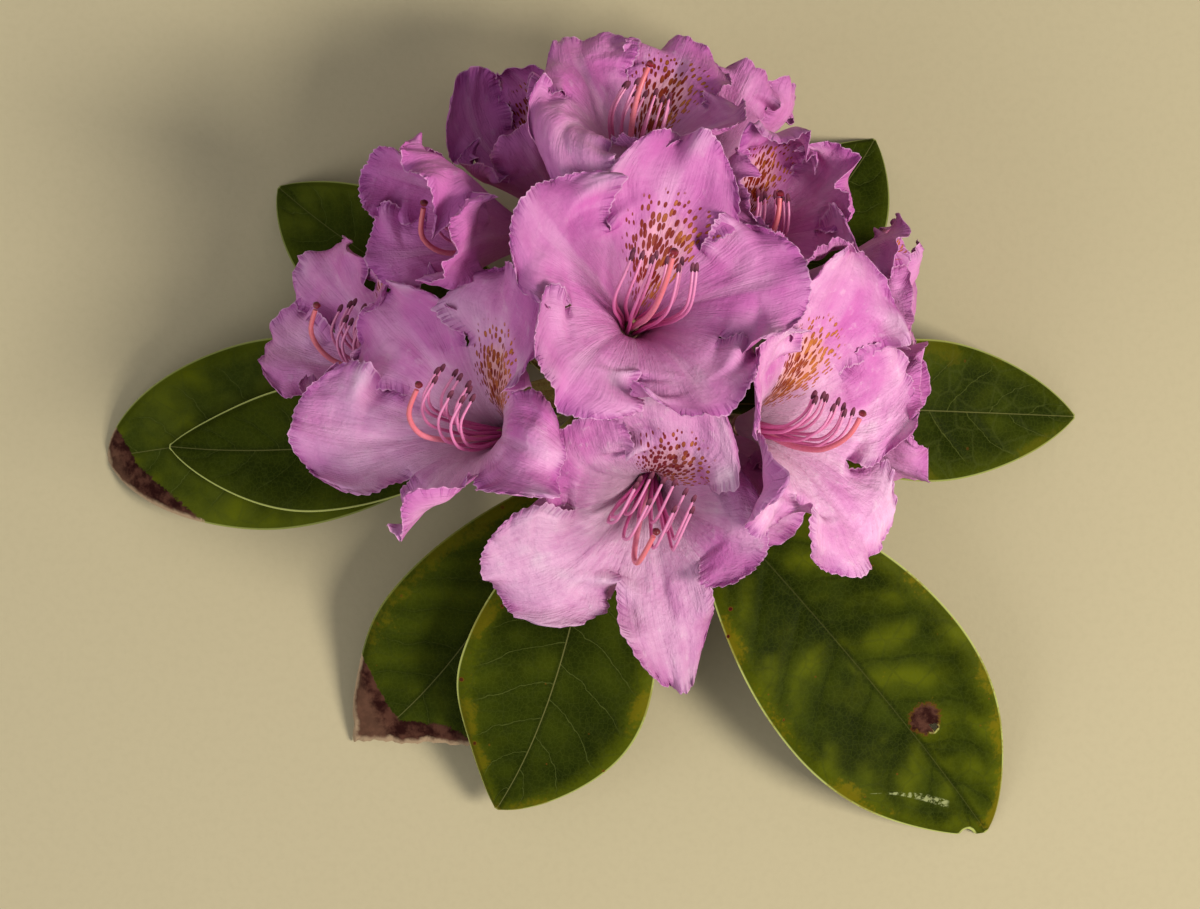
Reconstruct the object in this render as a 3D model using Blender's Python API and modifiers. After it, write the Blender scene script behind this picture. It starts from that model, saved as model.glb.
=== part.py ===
"""A cut rhododendron (azalea) truss lying flower side up: a short cut stem, a whorl of leathery leaves
that rest on their tips, the truss axis with a stalk for each bloom, and open funnel blooms with their
stamens and styles.

Frame: metres, +Z up the stem, origin at the centre of the stem's flat cut, +X to the right and +Y up the
plan view from above. Headings are degrees clockwise from +Y, seen from above.
"""

import math

import bmesh
import bpy
import numpy as np

MM = 0.001
GAP = 0.3 * MM  # between pieces that meet

# ---- Corolla: a funnel that splits into five lobes at its notches. Angles are degrees from its axis.
TUBE_BASE_RADIUS = 2.5 * MM
TUBE_LENGTH = 26 * MM
TUBE_LEAN = 14  # at its base; each bloom has its own flare at its notches
LOBE_HALF_WIDTH = 17.5 * MM
PETAL_THICKNESS = 0.6 * MM
LOBE_NAMES = ("upper", "right", "low_right", "low_left", "left")
LOBE_STEP = 72
EVEN_LOBE = (0, 33, 25, 1.0, 0)
TIP_ROUND = 0.30  # share of its length that a lobe's corners fall back from its tip
TIP_POWER = 2.4
TIP_NARROW = 0.72  # width near the tip over the widest
LOBE_CLEARANCE = 0.96  # share of the way to its neighbours that a lobe may fill
CUP = 0.10
RUFFLE = 1.4 * MM
RUFFLES = 5
SPINE_STEPS = 60
TUBE_ROWS = 3
LOBE_ROWS = 3
PLAIN_ROWS = (2, 2)  # the same for the blooms under the others,
PLAIN_BELOW = 0.5  # whose stalks leave this low on the truss axis
ACROSS = 4

# ---- Stamens and style: each path is given along the bloom's axis and towards its upper lobe (mm). They
# sag along the lower side of the funnel and turn up at their ends, by each bloom's own shares of length,
# sag and turn. The stamens open from a ring round the ovary to a wide oval that the style leaves between
# the lowest two.
STAMENS = 10
STAMEN_PATH = ((0.4, 0.0), (9, -2.0), (18, -4.2), (26, -4.6), (32, -1.4), (34, 2.6))
STAMEN_SPREAD = 8 * MM  # the oval's half-width at their ends
STAMEN_RISE = 2.2 * MM  # and its half-height
LOWER_GAP = 0.4  # rad, by which those next to the lowest point stand further from it
UPPER_SHORTER = 0.09  # share of their length by which the upper stamens are shorter than the middle ones
STAMEN_RADIUS = 0.34 * MM
ANTHER_RADIUS = 0.7 * MM
STYLE_PATH = ((0.4, 0.0), (10, -2.6), (22, -6.0), (33, -6.6), (41, -3.4), (45, 2.0))
STYLE_RADIUS = (0.6 * MM, 0.48 * MM, 0.95 * MM)  # at the ovary, along it and at the stigma
STYLE_SIDES = STAMENS // 2
OVARY_RADIUS = 1.6 * MM
OVARY_HEIGHT = 5 * MM

# ---- Stem, truss axis and flower stalks
STEM_RADIUS = (4.6 * MM, 4.2 * MM)  # at the cut and at the top
STEM_TOP = 36 * MM
AXIS_RADIUS = (3.6 * MM, 1.8 * MM)
AXIS_TOP = (-1, 10, 64)  # mm
STALK_RADIUS = 1.0 * MM
CALYX_RADIUS = 2.4 * MM
CALYX_LENGTH = 2.2 * MM

# ---- Leaves: heading and height where the stalk leaves the stem, the tip (mm), the blade's half-width
# (mm), how blunt the tip is (1 is pointed), the arch of the midrib as a share of its length, and how far
# its middle bows clockwise (mm).
LEAF_STALK = 0.14  # share of the length
LEAF_THICKNESS = 1.5 * MM
LEAF_STALK_THICKNESS = 2.8 * MM
LEAF_STALK_WIDTH = 1.5 * MM
LEAF_TIP_WIDTH = 0.5 * MM
LEAF_ROWS = 10
LEAF_ACROSS = 4
LEAF_FOLD = 0.10
LEAVES = {
    "north_west": (-58, 25, (-92, 58, 0.8), 18, 0.75, 0.10, -3),
    "west_low": (-96, 19.5, (-138, -15, 0.8), 25, 0.6, 0.10, 1),
    "west": (-98, 31.5, (-120, -12, 11), 16.5, 0.8, 0.09, -4),
    "south_west": (-142, 21, (-71, -94, 0.8), 23.5, 0.65, 0.10, -6),
    "south": (197, 33, (-33, -109, 9), 25, 0.8, 0.14, -5),
    "south_east": (139, 25, (99, -116, 0.8), 27.5, 0.7, 0.10, -2),
    "east": (92, 29, (123, -4, 0.8), 18.5, 0.8, 0.10, 0),
    "north_east": (44, 26, (69, 71, 0.8), 19, 0.8, 0.10, 4),
}


# ---- Blooms, from the top of the truss down: where the tube starts (mm), how far its axis leans from
# upright and towards which heading, and how far the upper lobe is turned clockwise. Then where its stalk
# leaves the truss axis (a share of its height), the lean of its walls at the notches, its stamens' shares
# of length, sag and turn, and each lobe's tip: its turn from its own fifth, its distance from the bloom's
# axis and along it (mm), its width, and its twist.
BLOOMS = {
    "crown": {
        "base": (2, 16, 80), "tilt": 24, "heading": 32, "roll": 12,
        "foot": 1, "flare": 66, "stamens": (1.0, 1.0, 0.6),
        "lobes": {
            "upper": (5, 43, 27, 1.15, 0),
            "right": (-1, 39, 25, 1.25, 0),
            "low_right": (0, 34, 26, 1.35, 0),
            "low_left": (-4, 37, 23, 1.25, 20),
            "left": (10, 38, 23, 1.3, 0),
        },
    },
    "west": {
        "base": (-28, -10, 64), "tilt": 40, "heading": -68, "roll": 36,
        "foot": 0.72, "flare": 58, "stamens": (0.85, 1.1, 2.2),
        "lobes": {
            "upper": (-6, 40, 28, 1.2, 0),
            "right": (2, 35, 15, 0.85, 30),
            "low_right": (10, 32, 28, 0.7, -50),
            "low_left": (11, 43, 33, 1.25, 0),
            "left": (-8, 40, 29, 1.05, 0),
        },
    },
    "east": {
        "base": (30, -7, 64), "tilt": 46, "heading": 88, "roll": 12,
        "foot": 0.72, "flare": 58, "stamens": (0.85, 1, 1),
        "lobes": {
            "upper": (5, 45, 30, 1.3, 0),
            "right": (-15, 36, 27, 0.9, 0),
            "low_right": (-1, 40, 25, 1.25, 0),
            "low_left": (-8, 35, 22, 0.7, 40),
            "left": (6, 30, 28, 1, 0),
        },
    },
    "south": {
        "base": (7, -20, 62), "tilt": 26, "heading": 186, "roll": 24,
        "foot": 0.8, "flare": 56, "stamens": (0.95, 1, 4),
        "lobes": {
            "upper": (-14, 40, 20, 1.15, 0),
            "right": (0, 30, 23.5, 1, 20),
            "low_right": (1, 45, 28, 0.72, 45),
            "low_left": (9, 42, 27, 1.15, 0),
            "left": (13, 32, 24, 1.08, 0),
        },
    },
    "north": {
        "base": (2, 53, 58), "tilt": 54, "heading": 10, "roll": 36,
        "foot": 0.85, "flare": 56, "stamens": (0.78, 0.8, 0.2),
        "lobes": {
            "upper": (-4, 34, 25, 1.1, 0),
            "right": (0, 26, 26, 0.8, 0),
            "low_right": (4, 22, 24, 0.75, 0),
            "low_left": (-30, 30, 12, 1.3, 0),
            "left": (17, 33, 22, 1.15, 0),
        },
    },
    "north_west": {
        "base": (-22, 40.5, 55), "tilt": 51, "heading": -87, "roll": 30,
        "foot": 0.62, "flare": 33, "stamens": (0.8, 1, 3),
        "lobes": {
            "upper": (7, 16.5, 46, 1, 0),
            "right": (12, 25, 43, 0.9, 0),
            "low_right": (-5, 13, 29.5, 0.8, 0),
            "low_left": (9, 24, 34, 1, 0),
            "left": (-6, 23.5, 40, 1.1, 0),
        },
    },
    "north_east": {
        "base": (28, 38.5, 45), "tilt": 27, "heading": 49, "roll": 1,
        "foot": 0.55, "flare": 33, "stamens": (0.72, 1, 1),
        "lobes": {
            "upper": (5, 8, 44.5, 1, 0),
            "right": (-9, 16.5, 43, 0.9, 0),
            "low_right": (18, 17.5, 45, 0.9, 0),
            "low_left": (-7, 12, 39.5, 0.8, 0),
            "left": (-22, 13, 42.5, 0.9, 0),
        },
    },
    "far_east": {
        "base": (41, 28, 43), "tilt": 77, "heading": 91, "roll": 31,
        "foot": 0.3, "flare": 33, "stamens": (0.6, 1, 1),
        "lobes": {
            "upper": (1, 19.5, 28, 1, 0),
            "right": (-18, 32.5, 29, 1, 0),
            "low_right": (9, 13.5, 32.5, 0.9, 0),
            "low_left": (4, 16.5, 36, 0.8, 0),
            "left": (-6, 20.5, 33.5, 0.8, 0),
        },
    },
    "far_west": {
        "base": (-50, 4, 39), "tilt": 67, "heading": -60, "roll": 30,
        "foot": 0.30, "flare": 40, "stamens": (0.8, 1, 2),
        "lobes": {
            "upper": (-3, 24, 27, 0.9, 0),
            "right": (0, 13, 24, 0.7, 0),
            "low_right": (-7, 18.5, 28.5, 0.9, 0),
            "low_left": (19, 33, 33, 1, 0),
            "left": (-8, 35, 33, 1.0, 0),
        },
    },
    "far_north_west": {
        "base": (-13.5, 45.5, 42), "tilt": 57, "heading": -32, "roll": -13,
        "foot": 0.35, "flare": 33, "stamens": (0.6, 1, 1),
        "lobes": {
            "upper": (-10, 16, 40, 1, 0),
            "right": (3, 9.5, 41, 0.8, 0),
            "low_right": (1, 8, 35, 0.8, 0),
            "low_left": (-4, 16, 31, 1, 0),
            "left": (33, 20.5, 41.5, 1, 0),
        },
    },
    "far_north_east": {
        "base": (17.5, 52.5, 35.5), "tilt": 94, "heading": 25, "roll": 55,
        "foot": 0.15, "flare": 33, "stamens": (0.6, 1, 1),
        "lobes": {
            "upper": (21, 23.5, 35.5, 1, 0),
            "right": (-6, 18.5, 36.5, 0.95, 0),
            "low_right": (6, 11, 38, 0.8, 0),
            "low_left": (-1, 12.5, 35.5, 0.8, 0),
            "left": (18, 15.5, 31.5, 0.8, 0),
        },
    },
    "low_east": {
        "base": (41, -5, 42), "tilt": 86, "heading": 88, "roll": 0,
        "foot": 0.12, "flare": 35, "stamens": (0.6, 1, 1),
        "lobes": {
            "upper": (12, 16, 37.5, 0.9, 0),
            "right": (-8, 19.5, 39, 0.9, 0),
            "low_right": (-13, 21, 35, 0.9, 0),
            "low_left": (-1, 18, 37, 0.8, 0),
            "left": (9, 14.5, 36, 0.8, 0),
        },
    },
    "under_south": {
        "base": (-5.5, -11.5, 54.5), "tilt": 88, "heading": 198, "roll": 3,
        "foot": 0.5, "flare": 34, "stamens": (0.6, 0.7, 0.6),
        "lobes": {
            "upper": (-3, 14, 33.5, 0.8, 0),
            "right": (3, 18.5, 37.5, 0.8, 0),
            "low_right": (9, 14.5, 36, 0.8, 0),
            "low_left": (4, 19, 34.5, 0.8, 0),
            "left": (5, 19, 35, 0.8, 0),
        },
    },
    "under_east": {
        "base": (14.5, -7, 44.5), "tilt": 73, "heading": 127, "roll": -26,
        "foot": 0.47, "flare": 36, "stamens": (0.6, 0.7, 0.6),
        "lobes": {
            "upper": (0, 13.5, 32.5, 0.8, 0),
            "right": (-6, 14, 29, 0.8, 0),
            "low_right": (-8, 21, 36.5, 0.8, 0),
            "low_left": (2, 14, 34.5, 0.8, 0),
            "left": (-5, 25.5, 36, 0.8, 0),
        },
    },
}


def rad(degrees):
    return degrees * math.pi / 180


def heading_vector(heading, rise=0.0):
    """The unit vector at a heading, tilted up from level by rise degrees."""
    level = math.cos(rad(rise))
    return np.array([level * math.sin(rad(heading)), level * math.cos(rad(heading)), math.sin(rad(rise))])


def bloom_frame(spec):
    """The bloom's right, upper and axis directions, with the upper lobe towards +Y before its roll."""
    axis = heading_vector(spec["heading"], 90 - spec["tilt"])
    upper = np.array([0.0, 1.0, 0.0])
    upper -= axis * (axis @ upper)
    upper /= np.linalg.norm(upper)
    right = np.cross(upper, axis)
    turn = rad(spec["roll"])
    return (
        right * math.cos(turn) - upper * math.sin(turn),
        upper * math.cos(turn) + right * math.sin(turn),
        axis,
    )


def lobe_of(spec, index):
    return spec["lobes"].get(LOBE_NAMES[index], EVEN_LOBE)


def lobe_swing(spec, index):
    """How far round the axis a lobe's tip is, in radians."""
    return rad(LOBE_STEP * index + lobe_of(spec, index)[0])


def lobe_lean(notch, bend, out):
    """A lobe's lean from the axis, from its notches to its tip."""
    return np.radians(notch + (bend - notch) * out**1.2)


def lobe_spine(spec, index):
    """Arc length, radius, height and lean of a lobe's middle line, from the tube's base to its tip."""
    _, reach, rise, _, _ = lobe_of(spec, index)
    tube = np.linspace(0, 1, SPINE_STEPS)
    notch = spec["flare"]
    lean = np.radians(TUBE_LEAN + (notch - TUBE_LEAN) * tube)
    step = TUBE_LENGTH / (SPINE_STEPS - 1)
    radius = TUBE_BASE_RADIUS + step * (np.cumsum(np.sin(lean)) - np.sin(lean[0]))
    height = step * (np.cumsum(np.cos(lean)) - np.cos(lean[0]))
    bends = np.arange(-60, 200, 2.0)
    leans = lobe_lean(notch, bends[:, None], tube[None, :])
    across, along = np.sin(leans).mean(1), np.cos(leans).mean(1)
    to_tip = reach * MM - radius[-1], rise * MM - height[-1]
    bend = np.interp(math.atan2(*to_tip), np.unwrap(np.arctan2(across, along)), bends)
    out = lobe_lean(notch, bend, tube)
    length = math.hypot(*to_tip) / math.hypot(np.sin(out).mean(), np.cos(out).mean())
    step = length / (SPINE_STEPS - 1)
    far = radius[-1] + step * (np.cumsum(np.sin(out)) - np.sin(out[0]))
    high = height[-1] + step * (np.cumsum(np.cos(out)) - np.cos(out[0]))
    arc = np.concatenate([TUBE_LENGTH * tube, TUBE_LENGTH + length * tube[1:]])
    return (
        arc,
        np.concatenate([radius, far[1:]]),
        np.concatenate([height, high[1:]]),
        np.concatenate([lean, out[1:]]),
        length,
    )


def petal(spec, index, v, c):
    """Points of one lobe and its fifth of the tube. v runs from 0 to 1 up the tube and on to 2 at the
    lobe's tip, and c from -1 to 1 across it, clockwise."""
    _, _, _, broad, twist = lobe_of(spec, index)
    arc, radius, height, lean, length = lobe_spine(spec, index)
    out = np.clip(v - 1, 0, 1)
    s = TUBE_LENGTH * np.clip(v, 0, 1) + length * out * (1 - TIP_ROUND * np.abs(c) ** TIP_POWER)
    far = np.interp(s, arc, radius)
    high = np.interp(s, arc, height)
    leant = np.interp(s, arc, lean)
    middle = rad(LOBE_STEP * index)
    turn = lobe_swing(spec, index) - middle
    after = lobe_swing(spec, (index + 1) % 5) - rad(LOBE_STEP * ((index + 1) % 5))
    before = lobe_swing(spec, (index - 1) % 5) - rad(LOBE_STEP * ((index - 1) % 5))
    swung = out**1.3
    half = rad(LOBE_STEP / 2)
    limit = half + np.where(c > 0, after - turn, turn - before) / 2 * swung
    notch_width = half * np.interp(TUBE_LENGTH, arc, radius)
    widening = np.sin(np.clip(out / 0.5, 0, 1) * math.pi / 2)
    wide = notch_width + (LOBE_HALF_WIDTH * broad - notch_width) * widening
    wide = wide * (1 - (1 - TIP_NARROW) * np.clip((out - 0.45) / 0.55, 0, 1) ** 1.5)
    free = np.clip(out / 0.15, 0, 1)
    room = limit * far * (1 - (1 - LOBE_CLEARANCE) * free)
    wide = np.where(v <= 1, half * far, np.minimum(wide, room))
    turned = rad(twist) * out**1.3
    side = c * wide * np.cos(turned)
    lift = c * wide * np.sin(turned) + CUP * wide * c**2 * out
    about = np.arctan2(c, (out - 0.35) * 1.6)
    margin = np.clip(np.hypot(c, (out - 0.35) * 1.6), 0, 1.1) ** 3 * np.clip(out / 0.3, 0, 1)
    lift = lift + RUFFLE * margin * np.sin(RUFFLES * about + spec["seed"] * 1.7 + index * 2.1)
    far = far - lift * np.cos(leant)
    high = high + lift * np.sin(leant)
    angle = middle + turn * swung + side / np.maximum(far, TUBE_BASE_RADIUS)
    local = np.stack([far * np.sin(angle), far * np.cos(angle), high], -1)
    return local @ np.array(bloom_frame(spec)) + np.array(spec["base"]) * MM


for number, given in enumerate(BLOOMS.values()):
    given["seed"] = number


def stamen_path(spec, number):
    """One stamen's points, from the ovary to the anther's end."""
    reach, sag, curl = spec["stamens"]
    turn = 2 * math.pi * (number + 0.5) / STAMENS
    turn -= LOWER_GAP * math.sin(turn)
    long = (1 - UPPER_SHORTER * math.cos(turn) - 0.04 * (number % 2)) * reach
    path = []
    for along, up in STAMEN_PATH:
        share = along / STAMEN_PATH[-1][0]
        opened = reach * share**1.2 * (1.33 - 0.33 * share**3)
        across = OVARY_RADIUS * (1 - share) + STAMEN_SPREAD * opened
        above = OVARY_RADIUS * (1 - share) + STAMEN_RISE * opened
        middle = up * (sag if up < 0 else curl) * MM + STAMEN_RISE * opened
        path.append((-across * math.sin(turn), middle + above * math.cos(turn), along * long * MM))
    return place_points(spec, path)


def style_path(spec):
    reach, sag, curl = spec["stamens"]
    path = []
    for along, up in STYLE_PATH:
        path.append((0, up * (sag if up < 0 else curl) * MM, along * reach * MM))
    return place_points(spec, path)


def place_points(spec, points):
    return np.array(points) @ np.array(bloom_frame(spec)) + np.array(spec["base"]) * MM


def smooth_path(points, steps):
    """A smooth line through the points, as evenly spaced points."""
    points = np.asarray(points)
    knots = np.concatenate([[0], np.cumsum(np.linalg.norm(np.diff(points, axis=0), axis=1))])
    slopes = np.gradient(points, knots, axis=0)
    at = np.linspace(0, knots[-1], steps + 1)
    cell = np.clip(np.searchsorted(knots, at, "right") - 1, 0, len(knots) - 2)
    span = (knots[cell + 1] - knots[cell])[:, None]
    t = ((at - knots[cell])[:, None]) / span
    return (
        points[cell] * (1 + 2 * t) * (1 - t) ** 2
        + slopes[cell] * span * t * (1 - t) ** 2
        + points[cell + 1] * t**2 * (3 - 2 * t)
        + slopes[cell + 1] * span * t**2 * (t - 1)
    )


def leaf_spine(leaf, t):
    """The midrib's points: out of the stem, over its arch and down to the tip."""
    heading, rise, tip, _, _, arch, bow = leaf
    start = heading_vector(heading) * (STEM_RADIUS[0] + GAP + 0.5 * MM)
    start[2] = rise * MM
    end = np.array(tip) * MM
    way = end - start
    long = np.linalg.norm(way)
    aside = np.array([way[1], -way[0], 0]) / long * bow * MM
    first = start + heading_vector(heading, 12) * long * 0.33 + aside * 0.6
    second = end - way * 0.33 + np.array([0, 0, arch * long]) + aside * 2
    t = t[..., None]
    return (1 - t) ** 3 * start + 3 * t * (1 - t) ** 2 * first + 3 * t**2 * (1 - t) * second + t**3 * end


def leaf_half_width(leaf, t):
    """Half the blade's width, or the stalk's, along the midrib."""
    blunt = leaf[4]
    blade = np.clip((t - LEAF_STALK) / (1 - LEAF_STALK), 0, 1)
    low = np.sin(np.clip(blade / 0.58, 0, 1) * math.pi / 2) ** 0.9
    high = np.sin(np.clip((1 - blade) / 0.42, 0, 1) * math.pi / 2) ** blunt
    least = np.where(t < 0.5, LEAF_STALK_WIDTH, LEAF_TIP_WIDTH)
    return np.maximum(leaf[3] * MM * np.minimum(low, high), least)


def leaf_surface(leaf, t, c):
    """Points of a leaf's middle surface. t runs from the stem to the tip and c from -1 to 1 across."""
    middle = leaf_spine(leaf, t)
    ahead = leaf_spine(leaf, np.minimum(t + 0.01, 1)) - leaf_spine(leaf, np.minimum(t, 0.99))
    ahead /= np.linalg.norm(ahead, axis=-1)[..., None]
    side = np.cross(ahead, [0, 0, 1.0])
    side /= np.linalg.norm(side, axis=-1)[..., None]
    up = np.cross(side, ahead)
    wide = leaf_half_width(leaf, t)
    blade = np.clip((t - LEAF_STALK) / 0.2, 0, 1)
    wave = 0.04 * np.sin(t * 17 + leaf[0]) * np.abs(c) ** 2
    rise = wide * blade * (LEAF_FOLD * np.abs(c) ** 1.5 + wave)
    return middle + side * (wide * c)[..., None] + up * rise[..., None]


def tube(body, points, radii, sides, first=None):
    """Add a tube along the points to a mesh: closed, or grown from a first ring of its points."""
    points = np.asarray(points)
    ahead = np.gradient(points, axis=0)
    ahead /= np.linalg.norm(ahead, axis=1)[:, None]
    side = np.array(first[0].co) - points[0] if first else np.cross(ahead[0], [0.3, 0.2, 1.0])
    rings = []
    for point, way, radius in zip(points, ahead, radii):
        side = side - way * (side @ way)
        side /= np.linalg.norm(side)
        other = np.cross(way, side)
        if first and not rings:
            rings.append(first)
            continue
        ring = []
        for number in range(sides):
            turn = 2 * math.pi * number / sides
            ring.append(body.verts.new(point + radius * (side * math.cos(turn) + other * math.sin(turn))))
        rings.append(ring)
    for low, high in zip(rings, rings[1:]):
        for number in range(sides):
            after = (number + 1) % sides
            body.faces.new((low[number], low[after], high[after], high[number]))
    if not first:
        body.faces.new(rings[0][::-1])
    body.faces.new(rings[-1])


def made(name, body, material, collection):
    """Make an object of a mesh."""
    bmesh.ops.recalc_face_normals(body, faces=body.faces)
    mesh = bpy.data.meshes.new(name)
    body.to_mesh(mesh)
    body.free()
    item = bpy.data.objects.new(name, mesh)
    if material:
        mesh.materials.append(material)
    collection.objects.link(item)
    return item


def surface(name, color, roughness, subsurface=0.0):
    look = bpy.data.materials.new(name)
    look.use_nodes = True
    shader = look.node_tree.nodes["Principled BSDF"]
    shader.inputs["Base Color"].default_value = (*color, 1)
    shader.inputs["Roughness"].default_value = roughness
    shader.inputs["Subsurface Weight"].default_value = subsurface
    look.diffuse_color = (*color, 1)
    return look


def grid_map(body, columns, rows, place):
    """Add a grid to a mesh, with each point placed by its column and row."""
    made_grid = bmesh.ops.create_grid(body, x_segments=columns, y_segments=rows, size=1)
    points = made_grid["verts"]
    column = np.array([round((point.co.x + 1) / 2 * columns) for point in points])
    row = np.array([round((point.co.y + 1) / 2 * rows) for point in points])
    for point, spot in zip(points, place(column, row)):
        point.co = spot


def petal_rows(spec):
    return PLAIN_ROWS if spec["foot"] < PLAIN_BELOW else (TUBE_ROWS, LOBE_ROWS)


def petal_cell(spec, index):
    """A placing of one petal's grid."""
    tube_rows, lobe_rows = petal_rows(spec)

    def place(column, row):
        c = column / ACROSS * 2 - 1
        v = np.where(row <= tube_rows, row / tube_rows, 1 + (row - tube_rows) / lobe_rows)
        return petal(spec, index, v, c)

    return place


def corolla(name, spec, look, collection):
    """One funnel of five petals, joined up to their notches."""
    body = bmesh.new()
    for index in range(5):
        grid_map(body, ACROSS, sum(petal_rows(spec)), petal_cell(spec, index))
    bmesh.ops.remove_doubles(body, verts=body.verts, dist=0.02 * MM)
    item = made(name, body, look, collection)
    shell = item.modifiers.new("Thickness", "SOLIDIFY")
    shell.thickness = PETAL_THICKNESS
    shell.offset = 0
    return item


def bloom_heart(name, spec, look, collection):
    """The ovary, with a stamen grown from each of its shoulders and the style from its top."""
    right, upper, axis = bloom_frame(spec)
    base = np.array(spec["base"]) * MM
    body = bmesh.new()

    def ring(radius, rise):
        turns = [2 * math.pi * number / STAMENS - math.pi for number in range(STAMENS)]
        ways = [right * math.sin(turn) - upper * math.cos(turn) for turn in turns]
        return [body.verts.new(base + axis * rise * OVARY_HEIGHT + way * radius) for way in ways]

    foot, waist, top = ring(OVARY_RADIUS * 0.9, 0), ring(OVARY_RADIUS, 0.5), ring(OVARY_RADIUS * 0.45, 1)
    body.faces.new(foot[::-1])
    for number in range(STAMENS):
        after = (number + 1) % STAMENS
        body.faces.new((foot[number], foot[after], waist[after], waist[number]))
        corners = (waist[number], waist[after], top[after], top[number])
        middle = np.mean([corner.co for corner in corners], axis=0)
        path = smooth_path(stamen_path(spec, number), 4)
        path[0] = middle
        spots = (middle * 2 - np.array(top[number].co) / 2 - np.array(top[after].co) / 2,
                 np.array(top[after].co), np.array(top[number].co))
        bud = [body.verts.new(middle + (spot - middle) * 0.5) for spot in spots]
        seam = ((0, 1, 0), (1, 2, 1), (2, 3, 2), (3, 0, 0))
        for low, high, inner in seam:
            body.faces.new((corners[low], corners[high], bud[inner]))
        for inner, outer in ((0, 1), (1, 2), (2, 3)):
            body.faces.new((corners[outer], bud[(inner + 1) % 3], bud[inner]))
        tube(body, path, [STAMEN_RADIUS] * 4 + [ANTHER_RADIUS], 3, bud)
    path = smooth_path(style_path(spec), 5)
    path[0] = base + axis * OVARY_HEIGHT
    thick, thin, end = STYLE_RADIUS
    tube(body, path, [thick, thick, thin, thin, thin, end], STYLE_SIDES, style_ring(body, top, path))
    return made(name, body, look, collection)


def style_ring(body, top, path):
    """Close the ovary's top ring onto a ring of half as many points, for the style."""
    heart = np.mean([corner.co for corner in top], axis=0)
    lift = (path[1] - path[0]) / np.linalg.norm(path[1] - path[0]) * 0.5 * MM
    ways = [np.array(top[2 * number].co) - heart for number in range(STYLE_SIDES)]
    ring = [body.verts.new(heart + lift + way * 0.8) for way in ways]
    for number in range(STYLE_SIDES):
        low, mid, high = (top[(2 * number + step) % STAMENS] for step in (0, 1, 2))
        after = ring[(number + 1) % STYLE_SIDES]
        body.faces.new((low, mid, ring[number]))
        body.faces.new((mid, after, ring[number]))
        body.faces.new((mid, high, after))
    return ring


def stalk(name, spec, look, collection):
    """A flower stalk from the truss axis to the calyx under its funnel."""
    _, _, axis = bloom_frame(spec)
    base = np.array(spec["base"]) * MM
    top = base - axis * (CALYX_LENGTH + 2.2 * GAP)
    foot, out = axis_foot(spec, top)
    reach = np.linalg.norm(top - foot)
    points = bezier(foot, foot + out * reach * 0.4, top - axis * reach * 0.35, top, 5)
    end = base - axis * 2.2 * GAP
    points = np.concatenate([points, [top + (end - top) * 0.45, end]])
    radii = [STALK_RADIUS * 1.3] + [STALK_RADIUS] * 4 + [CALYX_RADIUS, CALYX_RADIUS * 0.9]
    body = bmesh.new()
    tube(body, points, radii, 6)
    return made(name, body, look, collection)


def axis_point(share):
    """A point up the truss axis and its radius there."""
    low = np.array([0, 0, STEM_TOP + GAP])
    high = np.array(AXIS_TOP) * MM
    bowed = np.array([share**2, share**2, share])
    return low + (high - low) * bowed, AXIS_RADIUS[0] + (AXIS_RADIUS[1] - AXIS_RADIUS[0]) * share


def axis_foot(spec, top):
    """Where a flower stalk leaves the truss axis, and which way."""
    middle, radius = axis_point(spec["foot"])
    if spec["foot"] == 1:
        ahead = middle - axis_point(0.98)[0]
        ahead /= np.linalg.norm(ahead)
        return middle + ahead * 2 * GAP, ahead
    level = (top - middle) * [1, 1, 0]
    level /= np.linalg.norm(level)
    way = level + [0, 0, 0.3]
    return middle + level * (radius + 4 * GAP), way / np.linalg.norm(way)


def bezier(start, first, second, end, count):
    t = np.linspace(0, 1, count)[:, None]
    return (1 - t) ** 3 * start + 3 * t * (1 - t) ** 2 * first + 3 * t**2 * (1 - t) * second + t**3 * end


def stem(look, collection):
    """The woody cut stem, a little swollen under the leaves."""
    rises = np.array([0, 0.25, 0.55, 0.8, 1.0]) * STEM_TOP
    low, high = STEM_RADIUS
    radii = np.array([low, low * 0.96, low * 0.94, high * 1.08, high * 0.9])
    body = bmesh.new()
    tube(body, rises[:, None] * np.array([0, 0, 1.0]), radii, 14)
    return made("stem", body, look, collection)


def truss_axis(look, collection):
    body = bmesh.new()
    points, radii = zip(*(axis_point(share) for share in np.linspace(0, 1, 6)))
    tube(body, points, radii, 8)
    return made("truss_axis", body, look, collection)


def leaf_solid(name, leaf, look, collection):
    """A leaf's stalk and blade: one sheet, thicker along the stalk."""
    stops = np.concatenate([[0, LEAF_STALK / 2], np.linspace(LEAF_STALK, 1, LEAF_ROWS - 1)])

    def place(column, row):
        return leaf_surface(leaf, stops[row], column / LEAF_ACROSS * 2 - 1)

    body = bmesh.new()
    grid_map(body, LEAF_ACROSS, LEAF_ROWS, place)
    item = made(name, body, look, collection)
    stalk_points = item.vertex_groups.new(name="stalk")
    heart = heading_vector(leaf[0]) * STEM_RADIUS[0]
    long = np.linalg.norm(np.array(leaf[2]) * MM - heart)
    for point in item.data.vertices:
        away = math.hypot(point.co.x, point.co.y) / long
        stalk_points.add([point.index], float(np.clip((0.30 - away) / 0.12, 0, 1)), "REPLACE")
    shell = item.modifiers.new("Thickness", "SOLIDIFY")
    shell.thickness = LEAF_STALK_THICKNESS
    shell.offset = 0
    shell.vertex_group = "stalk"
    shell.thickness_vertex_group = LEAF_THICKNESS / LEAF_STALK_THICKNESS
    return item


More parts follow.
